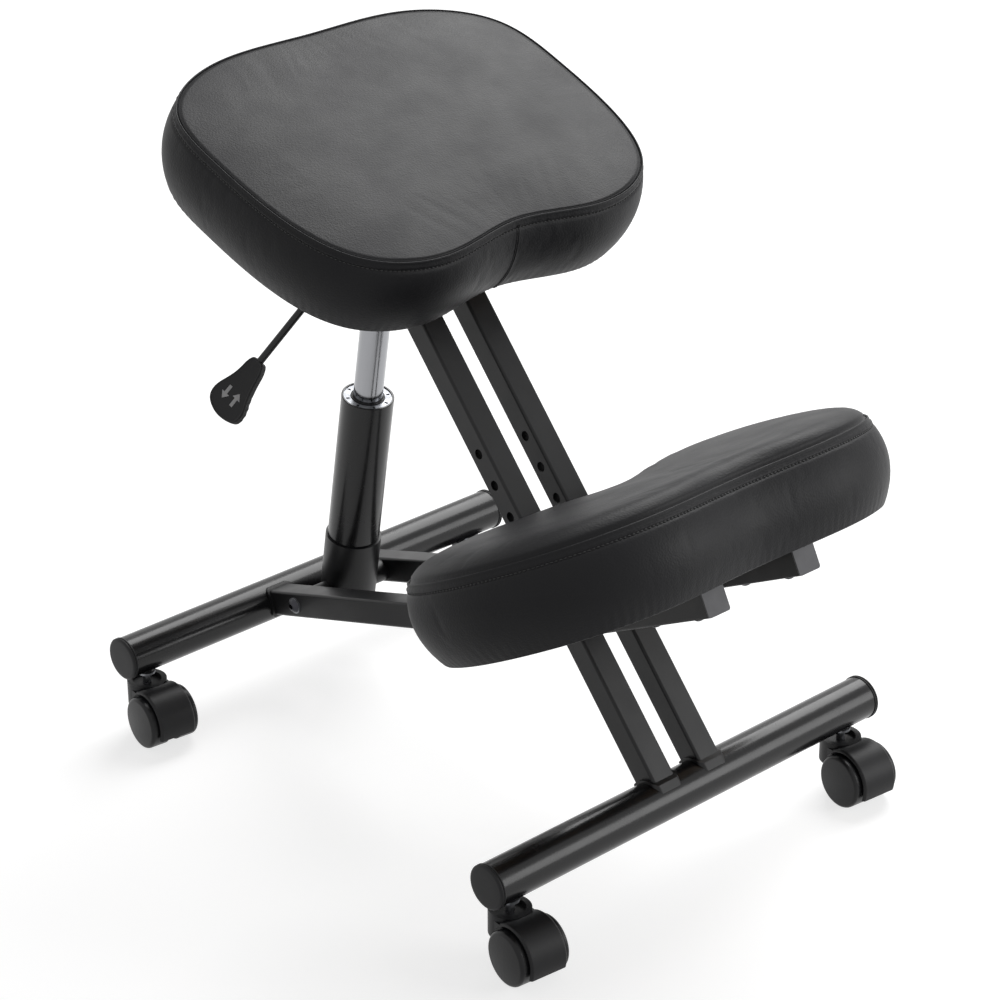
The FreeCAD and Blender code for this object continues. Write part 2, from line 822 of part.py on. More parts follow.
def lever_pin():
    half = toe_width / 2 + side_play + lever_ear_t
    pin = Part.makeCylinder(lever_pin_d / 2, 2 * half, V(lever_x, lever_u - half, lever_w), Y_AXIS)
    head_low = V(lever_x, lever_u - half - 1.5, lever_w)
    head = Part.makeCylinder(lever_pin_d / 2 + 1.2, 1.5, head_low, Y_AXIS)
    return put(pin.fuse(head), seat_frame)


def lever_frame():
    """The lever's own frame in the seat: Z runs out along the rod, Y along the pin."""
    out = FreeCAD.Rotation(Y_AXIS, -90 - lever_angle)
    return seat_frame.multiply(FreeCAD.Placement(V(lever_x, lever_u, lever_w), out))


def lever_toe():
    """The hub on the pin, with the toe that reaches over the valve and a socket for the rod."""
    half = toe_width / 2
    start = V(lever_x, lever_u - half, lever_w)
    hub = Part.makeCylinder(lever_hub_d / 2, toe_width, start, Y_AXIS)
    under = valve_point.z + toe_gap
    tip = valve_point.x + toe_overhang
    arm = rounded_bar(lever_x, tip, lever_u - half, lever_u + half, under, under + toe_t, 1.5, Y_AXIS)
    beside = lever_x + lever_hub_d / 2 + side_play * 2
    cover = valve_point.y + valve_d / 2 + toe_cover
    toe = rounded_bar(beside, tip, lever_u - half, cover, under, under + toe_t, 1.5, Y_AXIS)
    bore = Part.makeCylinder(lever_pin_d / 2 + running_fit, toe_width + 2, start - Y_AXIS, Y_AXIS)
    socket = put(upright(rod_socket_r, lever_hub_d / 2 - 2, lever_hub_d / 2 + rod_socket_depth), lever_frame())
    hole = put(upright(rod_d / 2, lever_hub_d / 2, lever_hub_d / 2 + rod_socket_depth + 1), lever_frame())
    body = put(hub.fuse(arm).fuse(toe).removeSplitter().cut(bore), seat_frame)
    return body.fuse(socket).cut(hole)


def lever_rod():
    start = lever_hub_d / 2
    rod = upright(rod_d / 2, start, start + rod_length)
    return put(rod, lever_frame())


def lever_paddle():
    """The tapered grip, moulded on the end of the rod, with finger ribs along its end."""
    start = lever_hub_d / 2 + rod_length - paddle_socket
    end = start + paddle_length
    low = -paddle_t / 2
    corners = [V(low, -paddle_neck / 2, start), V(low, paddle_neck / 2, start),
               V(low, paddle_end / 2 - paddle_skew, end), V(low, -paddle_end / 2 - paddle_skew, end)]
    grip = Part.Face(Part.makePolygon(corners + [corners[0]])).extrude(V(paddle_t, 0, 0))
    edges = edges_along(grip, X_AXIS)
    neck_edges = [e for e in edges if e.CenterOfMass.z < start + 1]
    grip = grip.makeFillet(paddle_corner, neck_edges)
    end_edges = [e for e in edges_along(grip, X_AXIS) if e.CenterOfMass.z > end - 1]
    grip = grip.makeFillet(paddle_end_corner, end_edges)
    socket = upright(rod_d / 2, start - 1, start + paddle_socket)
    return put(grip.cut(socket), lever_frame())


# Castors, in a frame at the floor under the stem, trailing towards -Y

def castor_frame(side, y):
    return FreeCAD.Placement(V(side * stem_x, y, 0), FreeCAD.Rotation(Z_AXIS, castor_turn))


axle_z = wheel_d / 2
stem_base = crossbar_height - crossbar_r - stem_collar_t


def castor_stem(side, y):
    """The stem: its upper end is pressed into the crossbar, the castor turns on its pin."""
    low = cup_foot + 4
    stem = upright(stem_pin_d / 2, low, stem_base)
    stem = stem.fuse(upright(stem_collar_d / 2, stem_base - stem_collar_t, stem_base))
    insert = upright(stem_d / 2, stem_base - 1, stem_base + stem_insert - 2)
    return put(stem.fuse(insert), castor_frame(side, y))


def castor_hood(side, y):
    """The moulded hood: a shell over both wheels, a web that holds the axle, and the cup."""
    cup_r = cup_d / 2
    hood = crosswise(hood_d / 2, -hood_half_width, hood_half_width, -castor_trail, axle_z)
    rims = [e for e in hood.Edges if e.Curve.TypeId == "Part::GeomCircle"]
    hood = hood.makeFillet(hood_edge, rims)
    open_back = box(-cup_d, cup_d, hood_back_y, cup_d, 0, cup_foot)
    hood = hood.cut(box(-cup_d, cup_d, -cup_d * 2, cup_d, -hood_d, hood_floor_gap)).cut(open_back)
    cup = upright(cup_r, cup_foot, cup_top)
    heel = rounded_bar(-hood_half_width, hood_half_width, -castor_trail, hood_heel, cup_foot, hood_heel_top,
                       hood_heel_corner)
    hood = hood.fuse(cup).fuse(heel)
    for direction_x in (-1, 1):
        near = direction_x * hood_web / 2
        far = direction_x * cup_d
        hood = hood.cut(crosswise(hood_inner_d / 2, min(near, far), max(near, far), -castor_trail, axle_z))
    hood = hood.cut(upright(cup_recess_d / 2, cup_top - cup_recess, cup_top + 1))
    hood = hood.cut(upright(stem_pin_d / 2 + running_fit, cup_foot + 3, cup_top + 1))
    hood = hood.cut(crosswise(axle_d / 2, -hood_web, hood_web, -castor_trail, axle_z))
    return put(hood, castor_frame(side, y))


def castor_axle(side, y):
    axle = crosswise(axle_d / 2, -axle_half, axle_half, -castor_trail, axle_z)
    return put(axle, castor_frame(side, y))


def castor_wheel(side, y, hand):
    """One wheel: a domed disc, a tread and a hub, hollow on the side of the web."""
    tread = wheel_d / 2
    dome_r = (tread ** 2 + wheel_dome ** 2) / (2 * wheel_dome)
    wheel = crosswise(tread, wheel_inner, wheel_face)
    wheel = wheel.common(Part.makeSphere(dome_r, V(wheel_face - dome_r, 0, 0)))
    rim = [e for e in wheel.Edges if abs(e.CenterOfMass.x - wheel_face + wheel_dome) < 1e-3]
    wheel = wheel.Solids[0].makeFillet(wheel_edge, rim)
    web = wheel_face - wheel_dome - wheel_disc_t
    hollow = cross_sleeve(tread - wheel_rim, hub_d / 2, wheel_inner - 1, web)
    bore = crosswise(axle_d / 2 + running_fit, wheel_inner - 1, axle_half + side_play)
    wheel = wheel.cut(hollow).cut(bore)
    if hand < 0:
        wheel = mirrored(wheel)
    wheel = wheel.translated(V(0, -castor_trail, axle_z))
    return put(wheel, castor_frame(side, y))


# Pads

knee_underside = half_tube + soft_gap
seat_underside = plate_top + soft_gap


def knee_spots():
    return [(x, u) for x in (-rail_x, rail_x) for u in knee_screw_u]


def build():
    """Every piece of the chair, by name, still in the frame midway between the crossbars."""
    pieces = {}
    for name, y in (("front", front_y), ("rear", rear_y)):
        pieces[name + "_crossbar"] = crossbar(y)
        pieces[name + "_crossbar_caps"] = crossbar_caps(y)
        pieces[name + "_caster_stems"] = [castor_stem(side, y) for side in (-1, 1)]
        for hand, side in (("left", 1), ("right", -1)):
            corner = name + "_" + hand
            pieces["caster_hood_" + corner] = castor_hood(side, y)
            pieces["caster_axle_" + corner] = castor_axle(side, y)
            pieces["wheel_" + corner + "_outer"] = castor_wheel(side, y, side)
            pieces["wheel_" + corner + "_inner"] = castor_wheel(side, y, -side)
    for hand, side in (("left", 1), ("right", -1)):
        pieces["diagonal_" + hand] = diagonal(side * diagonal_x)
        pieces["rail_" + hand] = rail(side * rail_x)
    pieces["front_weld_beads"] = [weld_bead(x, front_y, diagonal_frame, crossbar_od)
                                  for x in (-diagonal_x, diagonal_x)]
    pieces["rear_weld_beads"] = [weld_bead(x, rear_y, rail_frame, crossbar_od)
                                 for x in (-rail_x, rail_x)]
    pieces["rail_end_plugs"] = [rail_plug(x) for x in (-rail_x, rail_x)]
    pieces["frame_bolts"] = [cross_bolt(cross_pivot), cross_bolt(column_pivot)]
    pieces["lock_nuts"] = [cross_nut(cross_pivot), cross_nut(column_pivot)]
    pieces["frame_washers"] = frame_washers()
    pieces["pivot_bushes"] = pivot_bushes()
    pieces["pivot_spacer"] = pivot_spacer()

    board, nuts = board_with_nuts(knee_outline, knee_hem_inset, half_tube, knee_spots())
    pieces["knee_board"] = put(board, knee_frame)
    pieces["knee_tee_nuts"] = [put(nut, knee_frame) for nut in nuts]
    tip = half_tube + board_t - tee_flange_t
    pieces["knee_screws"] = [put(pad_screw(-half_tube, tip, x, u), knee_frame) for x, u in knee_spots()]
    pad = cushion(knee_outline, knee_underside, half_tube + knee_thickness, knee_crown,
                  knee_shoulder, knee_hem_inset, knee_side_bulge)
    pieces["knee_cushion"] = put(pad, knee_frame)

    board, nuts = board_with_nuts(seat_outline, seat_hem_inset, plate_top, seat_screw_spots())
    pieces["seat_board"] = put(board, seat_frame)
    pieces["seat_tee_nuts"] = [put(nut, seat_frame) for nut in nuts]
    tip = plate_top + board_t - tee_flange_t
    pieces["seat_screws"] = [put(pad_screw(plate_low, tip, x, u), seat_frame)
                             for x, u in seat_screw_spots()]
    pad = cushion(seat_outline, seat_underside, 0, seat_crown, seat_shoulder,
                  seat_hem_inset, seat_side_bulge)
    pieces["seat_cushion"] = put(pad, seat_frame)
    pieces["seat_bracket_plate"] = seat_bracket_plate()
    pieces["bracket_cheeks"] = [bracket_cheek(side) for side in (-1, 1)]

    pieces["column_sleeve"] = column_sleeve()
    pieces["column_tube"] = column_tube()
    pieces["guide_bush"] = guide_bush()
    pieces["retaining_ring"] = retaining_ring()
    pieces["piston_rod"] = piston_rod()
    pieces["pressure_cylinder"] = pressure_cylinder()
    pieces["cylinder_gland"] = cylinder_gland()
    pieces["gas_head"] = gas_head()
    pieces["trunnion_bolts"] = trunnion_bolts()
    pieces["valve_button"] = valve_button()

    pieces["lever_bracket"] = lever_bracket()
    pieces["lever_pin"] = lever_pin()
    pieces["lever_toe"] = lever_toe()
    pieces["lever_rod"] = lever_rod()
    pieces["lever_paddle"] = lever_paddle()
    return pieces


def as_one(piece):
    """A single solid as it is, or a group of like solids as one compound."""
    solids = piece if isinstance(piece, list) else [piece]
    loose = [solid for shape in solids for solid in shape.Solids]
    return loose[0] if len(loose) == 1 else Part.makeCompound(loose)


pieces = {name: as_one(piece) for name, piece in build().items()}
outline = Part.makeCompound(list(pieces.values())).optimalBoundingBox(False)
to_centre = V(-outline.Center.x, -outline.Center.y, -outline.ZMin)

os.makedirs("parts", exist_ok=True)
for name, shape in pieces.items():
    shape.translate(to_centre)
    shape.exportStep("parts/" + name + ".step")
print(len(pieces), "pieces, moved by", to_centre)
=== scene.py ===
import math

import bpy
import numpy as np
from mathutils import Matrix, Vector


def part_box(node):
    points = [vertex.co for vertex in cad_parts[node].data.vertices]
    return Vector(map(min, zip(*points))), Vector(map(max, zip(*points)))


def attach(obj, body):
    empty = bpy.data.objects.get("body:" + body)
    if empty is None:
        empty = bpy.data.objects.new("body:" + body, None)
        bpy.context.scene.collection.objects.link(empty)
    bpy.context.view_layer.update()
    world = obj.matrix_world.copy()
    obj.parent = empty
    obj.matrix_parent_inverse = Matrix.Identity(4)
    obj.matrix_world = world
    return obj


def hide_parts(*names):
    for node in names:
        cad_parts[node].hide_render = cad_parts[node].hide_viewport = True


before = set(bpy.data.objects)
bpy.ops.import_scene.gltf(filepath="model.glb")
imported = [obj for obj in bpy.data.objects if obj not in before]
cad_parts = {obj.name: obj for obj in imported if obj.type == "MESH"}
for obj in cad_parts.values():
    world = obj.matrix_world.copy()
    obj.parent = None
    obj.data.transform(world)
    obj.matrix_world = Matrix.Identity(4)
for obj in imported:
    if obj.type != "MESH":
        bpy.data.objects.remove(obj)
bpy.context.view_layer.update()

# Seat and knee covers. Each is polyurethane-coated cloth over moulded foam: a top panel and a
# border strip, joined by a seam whose border edge is folded to a thin lip, with a row of
# topstitching below it. The border is drawn in at the hem and stapled under the board.

MM = 0.001


def middle_of(node):
    low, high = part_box(node)
    return (low + high) / 2


# Every place below is in millimetres from the chair's middle, on the floor halfway between the
# two round crossbars: x across, y backwards, z up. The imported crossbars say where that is.
chair_middle = (middle_of("front_crossbar") + middle_of("rear_crossbar")) / 2
chair_middle.z = 0.0


def in_chair(points):
    """Points in mm from the chair's middle, as metres in the frame."""
    return np.asarray(points, float) * MM + np.array(chair_middle)


def tilted(points, at, degrees):
    """Local (x, u, w) points in mm, u back and w up, turned about X by t and moved to (y, z):
    y + u cos t - w sin t, z + u sin t + w cos t."""
    turn = math.radians(degrees)
    x, u, w = np.moveaxis(np.asarray(points, float), -1, 0)
    y = at[0] + u * math.cos(turn) - w * math.sin(turn)
    z = at[1] + u * math.sin(turn) + w * math.cos(turn)
    return in_chair(np.stack([x, y, z], -1))


def turned_only(directions, degrees):
    """Local directions in mm, turned about X by the angle and not moved."""
    return (tilted(directions, (0, 0), degrees) - tilted(np.zeros(3), (0, 0), degrees)) / MM


def add_node(tree, kind, settings=None, links=None, at=(0, 0)):
    """Adds a shader node, sets its sockets and properties, and links its inputs."""
    node = tree.nodes.new(kind)
    node.location = at
    for name, value in (settings or {}).items():
        if name in node.inputs:
            node.inputs[name].default_value = value
        else:
            setattr(node, name, value)
    for name, source in (links or {}).items():
        tree.links.new(source, node.inputs[name])
    return node


def hex_colour(code, alpha=1.0):
    """An sRGB hex colour as the linear values that a shader takes."""
    parts = np.array([int(code[i:i + 2], 16) for i in (1, 3, 5)]) / 255
    linear = np.where(parts <= 0.04045, parts / 12.92, ((parts + 0.055) / 1.055) ** 2.4)
    return (*linear.tolist(), alpha)


def new_material(name):
    material = bpy.data.materials.new(name)
    material.use_nodes = True
    material.node_tree.nodes.clear()
    return material, material.node_tree


def finish_material(tree, shader):
    add_node(tree, "ShaderNodeOutputMaterial", links={"Surface": shader.outputs[0]})


def mesh_piece(name, vertices, faces, material, smooth=True):
    """A new mesh object at the origin from points in metres."""
    mesh = bpy.data.meshes.new(name)
    mesh.from_pydata(np.asarray(vertices, float).reshape(-1, 3).tolist(), [], faces)
    mesh.materials.append(material)
    mesh.polygons.foreach_set("use_smooth", [smooth] * len(mesh.polygons))
    mesh.update()
    piece = bpy.data.objects.new(name, mesh)
    bpy.context.scene.collection.objects.link(piece)
    return piece


def leatherette():
    """Black polyurethane leather cloth, embossed with a fine pebble grain, satin finish.
    The pebbles are really 0.8 mm across; they are drawn at 1.7 mm so that they show."""
    material, tree = new_material("pu_leathercloth_pebbled_black")
    place = add_node(tree, "ShaderNodeTexCoord").outputs["Object"]
    pebble_mm, crease_mm, patch_mm = 1.7, 7.0, 60.0
    pebbles = add_node(tree, "ShaderNodeTexVoronoi",
                       {"feature": "SMOOTH_F1", "Scale": 1 / (pebble_mm * MM), "Smoothness": 0.6},
                       {"Vector": place})
    creases = add_node(tree, "ShaderNodeTexNoise",
                       {"Scale": 1 / (crease_mm * MM), "Detail": 4.0, "Roughness": 0.55},
                       {"Vector": place})
    patches = add_node(tree, "ShaderNodeTexNoise",
                       {"Scale": 1 / (patch_mm * MM), "Detail": 3.0, "Roughness": 0.6},
                       {"Vector": place})
    colour = add_node(tree, "ShaderNodeMix",
                      {"data_type": "RGBA", "A": hex_colour("#101011"), "B": hex_colour("#17171a")},
                      {"Factor": patches.outputs["Fac"]})
    sheen = add_node(tree, "ShaderNodeMapRange",
                     {"From Min": 0.3, "From Max": 0.7, "To Min": 0.46, "To Max": 0.54},
                     {"Value": patches.outputs["Fac"]})
    grain = add_node(tree, "ShaderNodeBump", {"Strength": 0.5, "Distance": 0.0003},
                     {"Height": pebbles.outputs["Distance"]})
    folds = add_node(tree, "ShaderNodeBump", {"Strength": 0.08, "Distance": 0.0012},
                     {"Height": creases.outputs["Fac"], "Normal": grain.outputs[0]})
    shader = add_node(tree, "ShaderNodeBsdfPrincipled",
                      {"IOR": 1.5, "Specular IOR Level": 0.2},
                      {"Base Color": colour.outputs["Result"], "Roughness": sheen.outputs["Result"],
                       "Normal": folds.outputs[0]})
    finish_material(tree, shader)
    return material


def sewing_thread():
    """Bonded polyester thread, black: twisted, so it has a fine slanting ripple and a soft gloss."""
    material, tree = new_material("bonded_polyester_thread_black")
    place = add_node(tree, "ShaderNodeTexCoord").outputs["Object"]
    twist = add_node(tree, "ShaderNodeTexWave", {"Scale": 380.0, "Distortion": 0.6},
                     {"Vector": place})
    ripple = add_node(tree, "ShaderNodeBump", {"Strength": 0.5, "Distance": 0.0002},
                      {"Height": twist.outputs["Fac"]})
    shader = add_node(tree, "ShaderNodeBsdfPrincipled",
                      {"Base Color": hex_colour("#060607"), "Roughness": 0.6},
                      {"Normal": ripple.outputs[0]})
    finish_material(tree, shader)
    return material


cover_cloth = leatherette()
thread = sewing_thread()


def closed_curve(points):
    """A smooth closed curve through the points: a periodic cubic in chord length. On a span of
    length h, with a still to go and b gone, the point is
    m0 a^3 / 6h + m1 b^3 / 6h + (p0 / h - m0 h / 6) a + (p1 / h - m1 h / 6) b.
    Returns a function of the share of the way round, 0 to 1, that gives points."""
    knots = np.array(points, float)
    steps = np.linalg.norm(np.roll(knots, -1, 0) - knots, axis=1)
    count = len(knots)
    rows = np.zeros((count, count))
    right = np.zeros((count, 2))
    for i in range(count):
        before, after = steps[i - 1], steps[i]
        rows[i, i - 1] = before
        rows[i, i] = 2 * (before + after)
        rows[i, (i + 1) % count] = after
        rise = (knots[(i + 1) % count] - knots[i]) / after - (knots[i] - knots[i - 1]) / before
        right[i] = 6 * rise
    bend = np.linalg.solve(rows, right)
    ends = np.concatenate([[0], np.cumsum(steps)])

    def at(share):
        way = (np.asarray(share, float) % 1.0) * ends[-1]
        span = np.clip(np.searchsorted(ends, way, side="right") - 1, 0, count - 1)
        following = (span + 1) % count
        h = steps[span][..., None]
        a = (ends[span + 1] - way)[..., None]
        b = (way - ends[span])[..., None]
        return (bend[span] * a ** 3 / (6 * h) + bend[following] * b ** 3 / (6 * h)
                + (knots[span] / h - bend[span] * h / 6) * a
                + (knots[following] / h - bend[following] * h / 6) * b)

    return at


def whole_outline(half):
    """Both halves of an outline given from the front middle round the right to the back middle."""
    right = [tuple(p) for p in half]
    return right + [(-x, u) for x, u in reversed(right[1:-1])]


def outward(curve, share):
    """Unit normals that point out of the outline."""
    step = 1e-4
    way = curve(np.asarray(share) + step) - curve(np.asarray(share) - step)
    way /= np.linalg.norm(way, axis=-1, keepdims=True)
    return np.stack([way[..., 1], -way[..., 0]], -1)


class Pad:
    """The measures of one pad and its surface, in its own (x, u, w) frame."""

    def __init__(self, half, underside, seam, crown, shoulder, inset, bulge):
        self.curve = closed_curve(whole_outline(half))
        self.middle = np.array([0.0, (half[0][1] + half[-1][1]) / 2])
        self.underside, self.seam, self.crown, self.shoulder = underside, seam, crown, shoulder
        self.inset, self.bulge = inset, bulge

    def top(self, share, reach):
        """Top panel: the outline drawn in towards the middle by the reach, 0 to 1, at the height
        seam + crown (1 - reach^shoulder)."""
        reach = np.asarray(reach, float)
        flat = self.middle + (self.curve(share) - self.middle) * reach[..., None]
        height = self.seam + self.crown * (1 - reach ** self.shoulder)
        return np.concatenate([flat, np.broadcast_to(height, flat.shape[:-1])[..., None]], -1)

    def side(self, share, rise):
        """Border: moved out by bulge 4 s (1 - s) - inset (1 - s)^2, where s is the share of its
        height."""
        rise = np.asarray(rise, float)
        out = self.bulge * 4 * rise * (1 - rise) - self.inset * (1 - rise) ** 2
        flat = self.curve(share) + outward(self.curve, share) * out[..., None]
        height = self.underside + (self.seam - self.underside) * rise
        return np.concatenate([flat, np.broadcast_to(height, flat.shape[:-1])[..., None]], -1)


# The middle of a panel is a square grid, pulled round; rings of the same number of points go on
# from its edge, out to the seam and down the border.
patch_steps = 64
around = 8 * patch_steps
patch_edge = 0.84
round_shares = np.arange(around) / around


def patch_grid():
    """A square grid laid over the panel: ring number and share of the way round for each point."""
    steps = np.arange(-patch_steps, patch_steps + 1)
    i, j = np.meshgrid(steps, steps)
    ring = np.maximum(abs(i), abs(j))
    place = np.select([(j == -ring) & (i >= 0), i == ring, j == ring, i == -ring, j == -ring],
                      [i, j + 2 * ring, 4 * ring - i, 6 * ring - j, 8 * ring + i])
    share = place / np.maximum(8 * ring, 1)
    return ring / patch_steps, share


patch_ring, patch_share = patch_grid()


def grid_faces(rows, columns):
    """Quads of a grid whose points are numbered row by row."""
    first = (np.arange(rows - 1)[:, None] * columns + np.arange(columns - 1)).ravel()
    return np.stack([first, first + 1, first + columns + 1, first + columns], 1)


def patch_rim():
    """Indices of the patch's outer points, in their order round the panel."""
    on_rim = np.flatnonzero(patch_ring.ravel() == 1)
    return on_rim[np.argsort(patch_share.ravel()[on_rim])]


def ring_faces(first, second):
    """Quads from one ring of point numbers to the next one out."""
    return np.stack([first, second, np.roll(second, -1), np.roll(first, -1)], 1)


def cover_mesh(patch, rings, closing):
    """Points and faces of a cover: the patch, then rings outwards and down, then a closing point."""
    points = [patch.reshape(-1, 3)]
    faces = [grid_faces(*patch_ring.shape)]
    last = patch_rim()
    count = patch_ring.size
    for ring in rings:
        here = count + np.arange(around)
        points.append(ring)
        faces.append(ring_faces(last, here))
        last = here
        count += around
    quads = np.concatenate(faces).tolist()
    if closing is not None:
        points.append(np.array(closing, float)[None])
        quads += np.stack([last, np.full(around, count), np.roll(last, -1)], 1).tolist()
    return np.concatenate(points), quads


# The cloth under pressure: it is cut larger than the foam by the spare, no point moves further
# than the cap in mm, and the cover keeps a share of the moves, since the real one is smooth.
cloth_pressure = 3.0
cloth_spare = -0.006
cloth_frames = 20
cloth_cap = 5.0
top_share = 0.22
border_share = 0.4
panel_stops = np.linspace(patch_edge, 1, 8)
border_stops = np.linspace(1, 0, 19)


def puffed(pad, name):
    """The cloth of a pad under the pressure of its foam, held at the seam and at the hem.
    Returns how far it moved, in local mm: for the patch, and by reach and rise for the rings."""
    patch = pad.top(patch_share, patch_ring * patch_edge)
    panel = [pad.top(round_shares, np.full(around, reach)) for reach in panel_stops[1:]]
    border = [pad.side(round_shares, np.full(around, rise)) for rise in border_stops[1:]]
    start, faces = cover_mesh(patch, panel + border, None)
    moved = np.zeros_like(start)
    piece = mesh_piece(name, start * MM, faces, cover_cloth)
    held = piece.vertex_groups.new(name="sewn")
    first_border = patch_ring.size + around * len(panel)
    seam_ring = range(first_border - around, first_border)
    hem_ring = range(len(start) - around, len(start))
    held.add(list(seam_ring) + list(hem_ring), 1.0, "REPLACE")
    cloth = piece.modifiers.new("cloth", "CLOTH")
    settings = cloth.settings
    settings.quality = 6
    settings.mass = 0.3
    settings.tension_stiffness = 40
    settings.compression_stiffness = 40
    settings.shear_stiffness = 20
    settings.bending_stiffness = 0.6
    settings.use_pressure = True
    settings.uniform_pressure_force = cloth_pressure
    settings.shrink_min = cloth_spare
    settings.vertex_group_mass = "sewn"
    settings.effector_weights.gravity = 0
    cloth.collision_settings.use_collision = False
    scene = bpy.context.scene
    cloth.point_cache.frame_start, cloth.point_cache.frame_end = 1, cloth_frames
    for number in range(1, cloth_frames + 1):
        scene.frame_set(number)
    simulated = piece.evaluated_get(bpy.context.evaluated_depsgraph_get()).to_mesh()
    end = np.zeros(len(start) * 3)
    simulated.vertices.foreach_get("co", end)
    moved = end.reshape(-1, 3) / MM - start
    length = np.linalg.norm(moved, axis=1, keepdims=True)
    moved *= np.minimum(1, cloth_cap / np.maximum(length, 1e-9))
    mesh = piece.data
    bpy.data.objects.remove(piece)
    bpy.data.meshes.remove(mesh)
    scene.frame_set(1)
    in_patch = moved[:patch_ring.size]
    rings = moved[patch_ring.size:].reshape(-1, around, 3)
    panel_moved = np.concatenate([in_patch[patch_rim()][None], rings[:len(panel)]]) * top_share
    border_moved = rings[len(panel) - 1:] * border_share
    return (in_patch.reshape(*patch_ring.shape, 3) * top_share, (panel_stops, panel_moved),
            (border_stops[::-1], border_moved[::-1]))


def between(table, value):
    """The row of moves at a value, between the two nearest rows."""
    places, rows = table
    step = np.clip(np.searchsorted(places, value) - 1, 0, len(places) - 2)
    share = (value - places[step]) / (places[step + 1] - places[step])
    return rows[step] * (1 - share) + rows[step + 1] * share


gather_pitch = 8.5
bend_rounds = 12
straight_gather = 0.15


def gathered(pad):
    """Folds where the cloth is eased round a corner, as a column of values from -1 to 1 round the
    outline. At the angle t, for n folds, sin(n t + 1.7 sin 3t + 0.9 sin(11t + 1)) is scaled by
    0.6 + 0.25 sin(5t + 0.4) + 0.15 sin(17t + 2), and is stronger where the outline bends more."""
    step = 1e-3
    turn = pad.curve(round_shares + step) - 2 * pad.curve(round_shares) + pad.curve(round_shares - step)
    bend = np.linalg.norm(turn, axis=1)
    for _ in range(bend_rounds):
        bend = (np.roll(bend, 1) + bend + np.roll(bend, -1)) / 3
    bend /= bend.max()
    outline = pad.curve(np.append(round_shares, 0.0))
    folds = round(np.linalg.norm(np.diff(outline, axis=0), axis=1).sum() / gather_pitch)
    way = 2 * np.pi * round_shares
    wave = np.sin(way * folds + 1.7 * np.sin(3 * way) + 0.9 * np.sin(11 * way + 1))
    uneven = 0.6 + 0.25 * np.sin(5 * way + 0.4) + 0.15 * np.sin(17 * way + 2)
    return (wave * uneven * (straight_gather + (1 - straight_gather) * bend))[:, None]


# The rings of a cover: shares of the way out on the panel; the seam in section, (out, up) in mm
# from the seam line; drops in mm below the seam; and the hem, turned in under the board and up
# against its upper side, in section from the border's foot.
panel_reaches = (0.87, 0.9, 0.93, 0.955, 0.972, 0.984)
seam_section = ((-3.0, 0.25), (-1.9, 0.25), (-1.35, -0.35), (-1.05, -1.5), (-0.6, -1.5), (-0.35, -0.2),
                (0.0, 0.55), (0.6, 0.7), (1.15, 0.2), (1.35, -0.9), (1.3, -2.4))
topstitch_drop = 7.5
topstitch_sink = 1.1
topstitch_reach = 1.3
border_drops = (4.0, 5.6, 6.6, topstitch_drop, 8.4, 9.4, 11.0, 13.5)
lip_swell = 1.25
lip_drop = 2.4
lip_reach = 5.0
gather_depth = 0.38
gather_drop = 4.5
gather_reach = 3.5
hem_gather = 0.9
hem_drop = 17
hem_rings = 15
hem_reach = 0.34
hem_turn = 24.0
board_t = 12.0
board_rim = 4.0
board_gap = 0.3
hem_section = ((-0.7, -0.9), (-2.2, -1.4), (-5.0, -1.2), (-hem_turn, -1.2), (-hem_turn - 0.5, -0.3),
               (-board_rim + board_gap, -0.25), (-board_rim + board_gap, board_t + board_gap),
               (-board_rim - 8, board_t + board_gap))


def swept(line, normal, section):
    """Rings beside a line, one for each (out, up) of the section."""
    return [line + np.concatenate([normal * out, np.full((around, 1), up)], 1)
            for out, up in section]


def cover_rings(pad, moves):
    """Every ring of the finished cover, in local mm, and the number of the topstitch ring. At the
    drop d the border swells out by lip_swell (1 - (d - lip_drop) / lip_reach) under the seam's lip
    and sinks by topstitch_sink exp(-((d - topstitch_drop) / topstitch_reach)^2) at the stitches."""
    panel, border = moves[1], moves[2]
    normal = outward(pad.curve, round_shares)
    height = pad.seam - pad.underside
    gathers = gathered(pad)
    rings = [pad.top(round_shares, np.full(around, reach)) + between(panel, reach)
             for reach in panel_reaches]
    rings += swept(pad.top(round_shares, np.ones(around)), normal, seam_section)
    for drop in border_drops:
        rise = 1 - drop / height
        swell = lip_swell * max(0.0, 1 - (drop - lip_drop) / lip_reach)
        sink = topstitch_sink * math.exp(-((drop - topstitch_drop) / topstitch_reach) ** 2)
        depth = gather_depth * math.exp(-((drop - gather_drop) / gather_reach) ** 2)
        ring = pad.side(round_shares, np.full(around, rise)) + between(border, rise)
        ring[:, :2] += normal * (swell - sink) + normal * gathers * depth
        rings.append(ring)
    stitch_ring = len(rings) - len(border_drops) + border_drops.index(topstitch_drop)
    for rise in np.linspace(1 - hem_drop / height, 0.0, hem_rings):
        depth = hem_gather * max(0.0, 1 - rise / hem_reach) ** 1.5
        ring = pad.side(round_shares, np.full(around, rise)) + between(border, rise)
        ring[:, :2] += normal * np.roll(gathers, 3, 0) * depth
        rings.append(ring)
    rings += swept(pad.side(round_shares, np.zeros(around)), normal, hem_section)
    return rings, stitch_ring


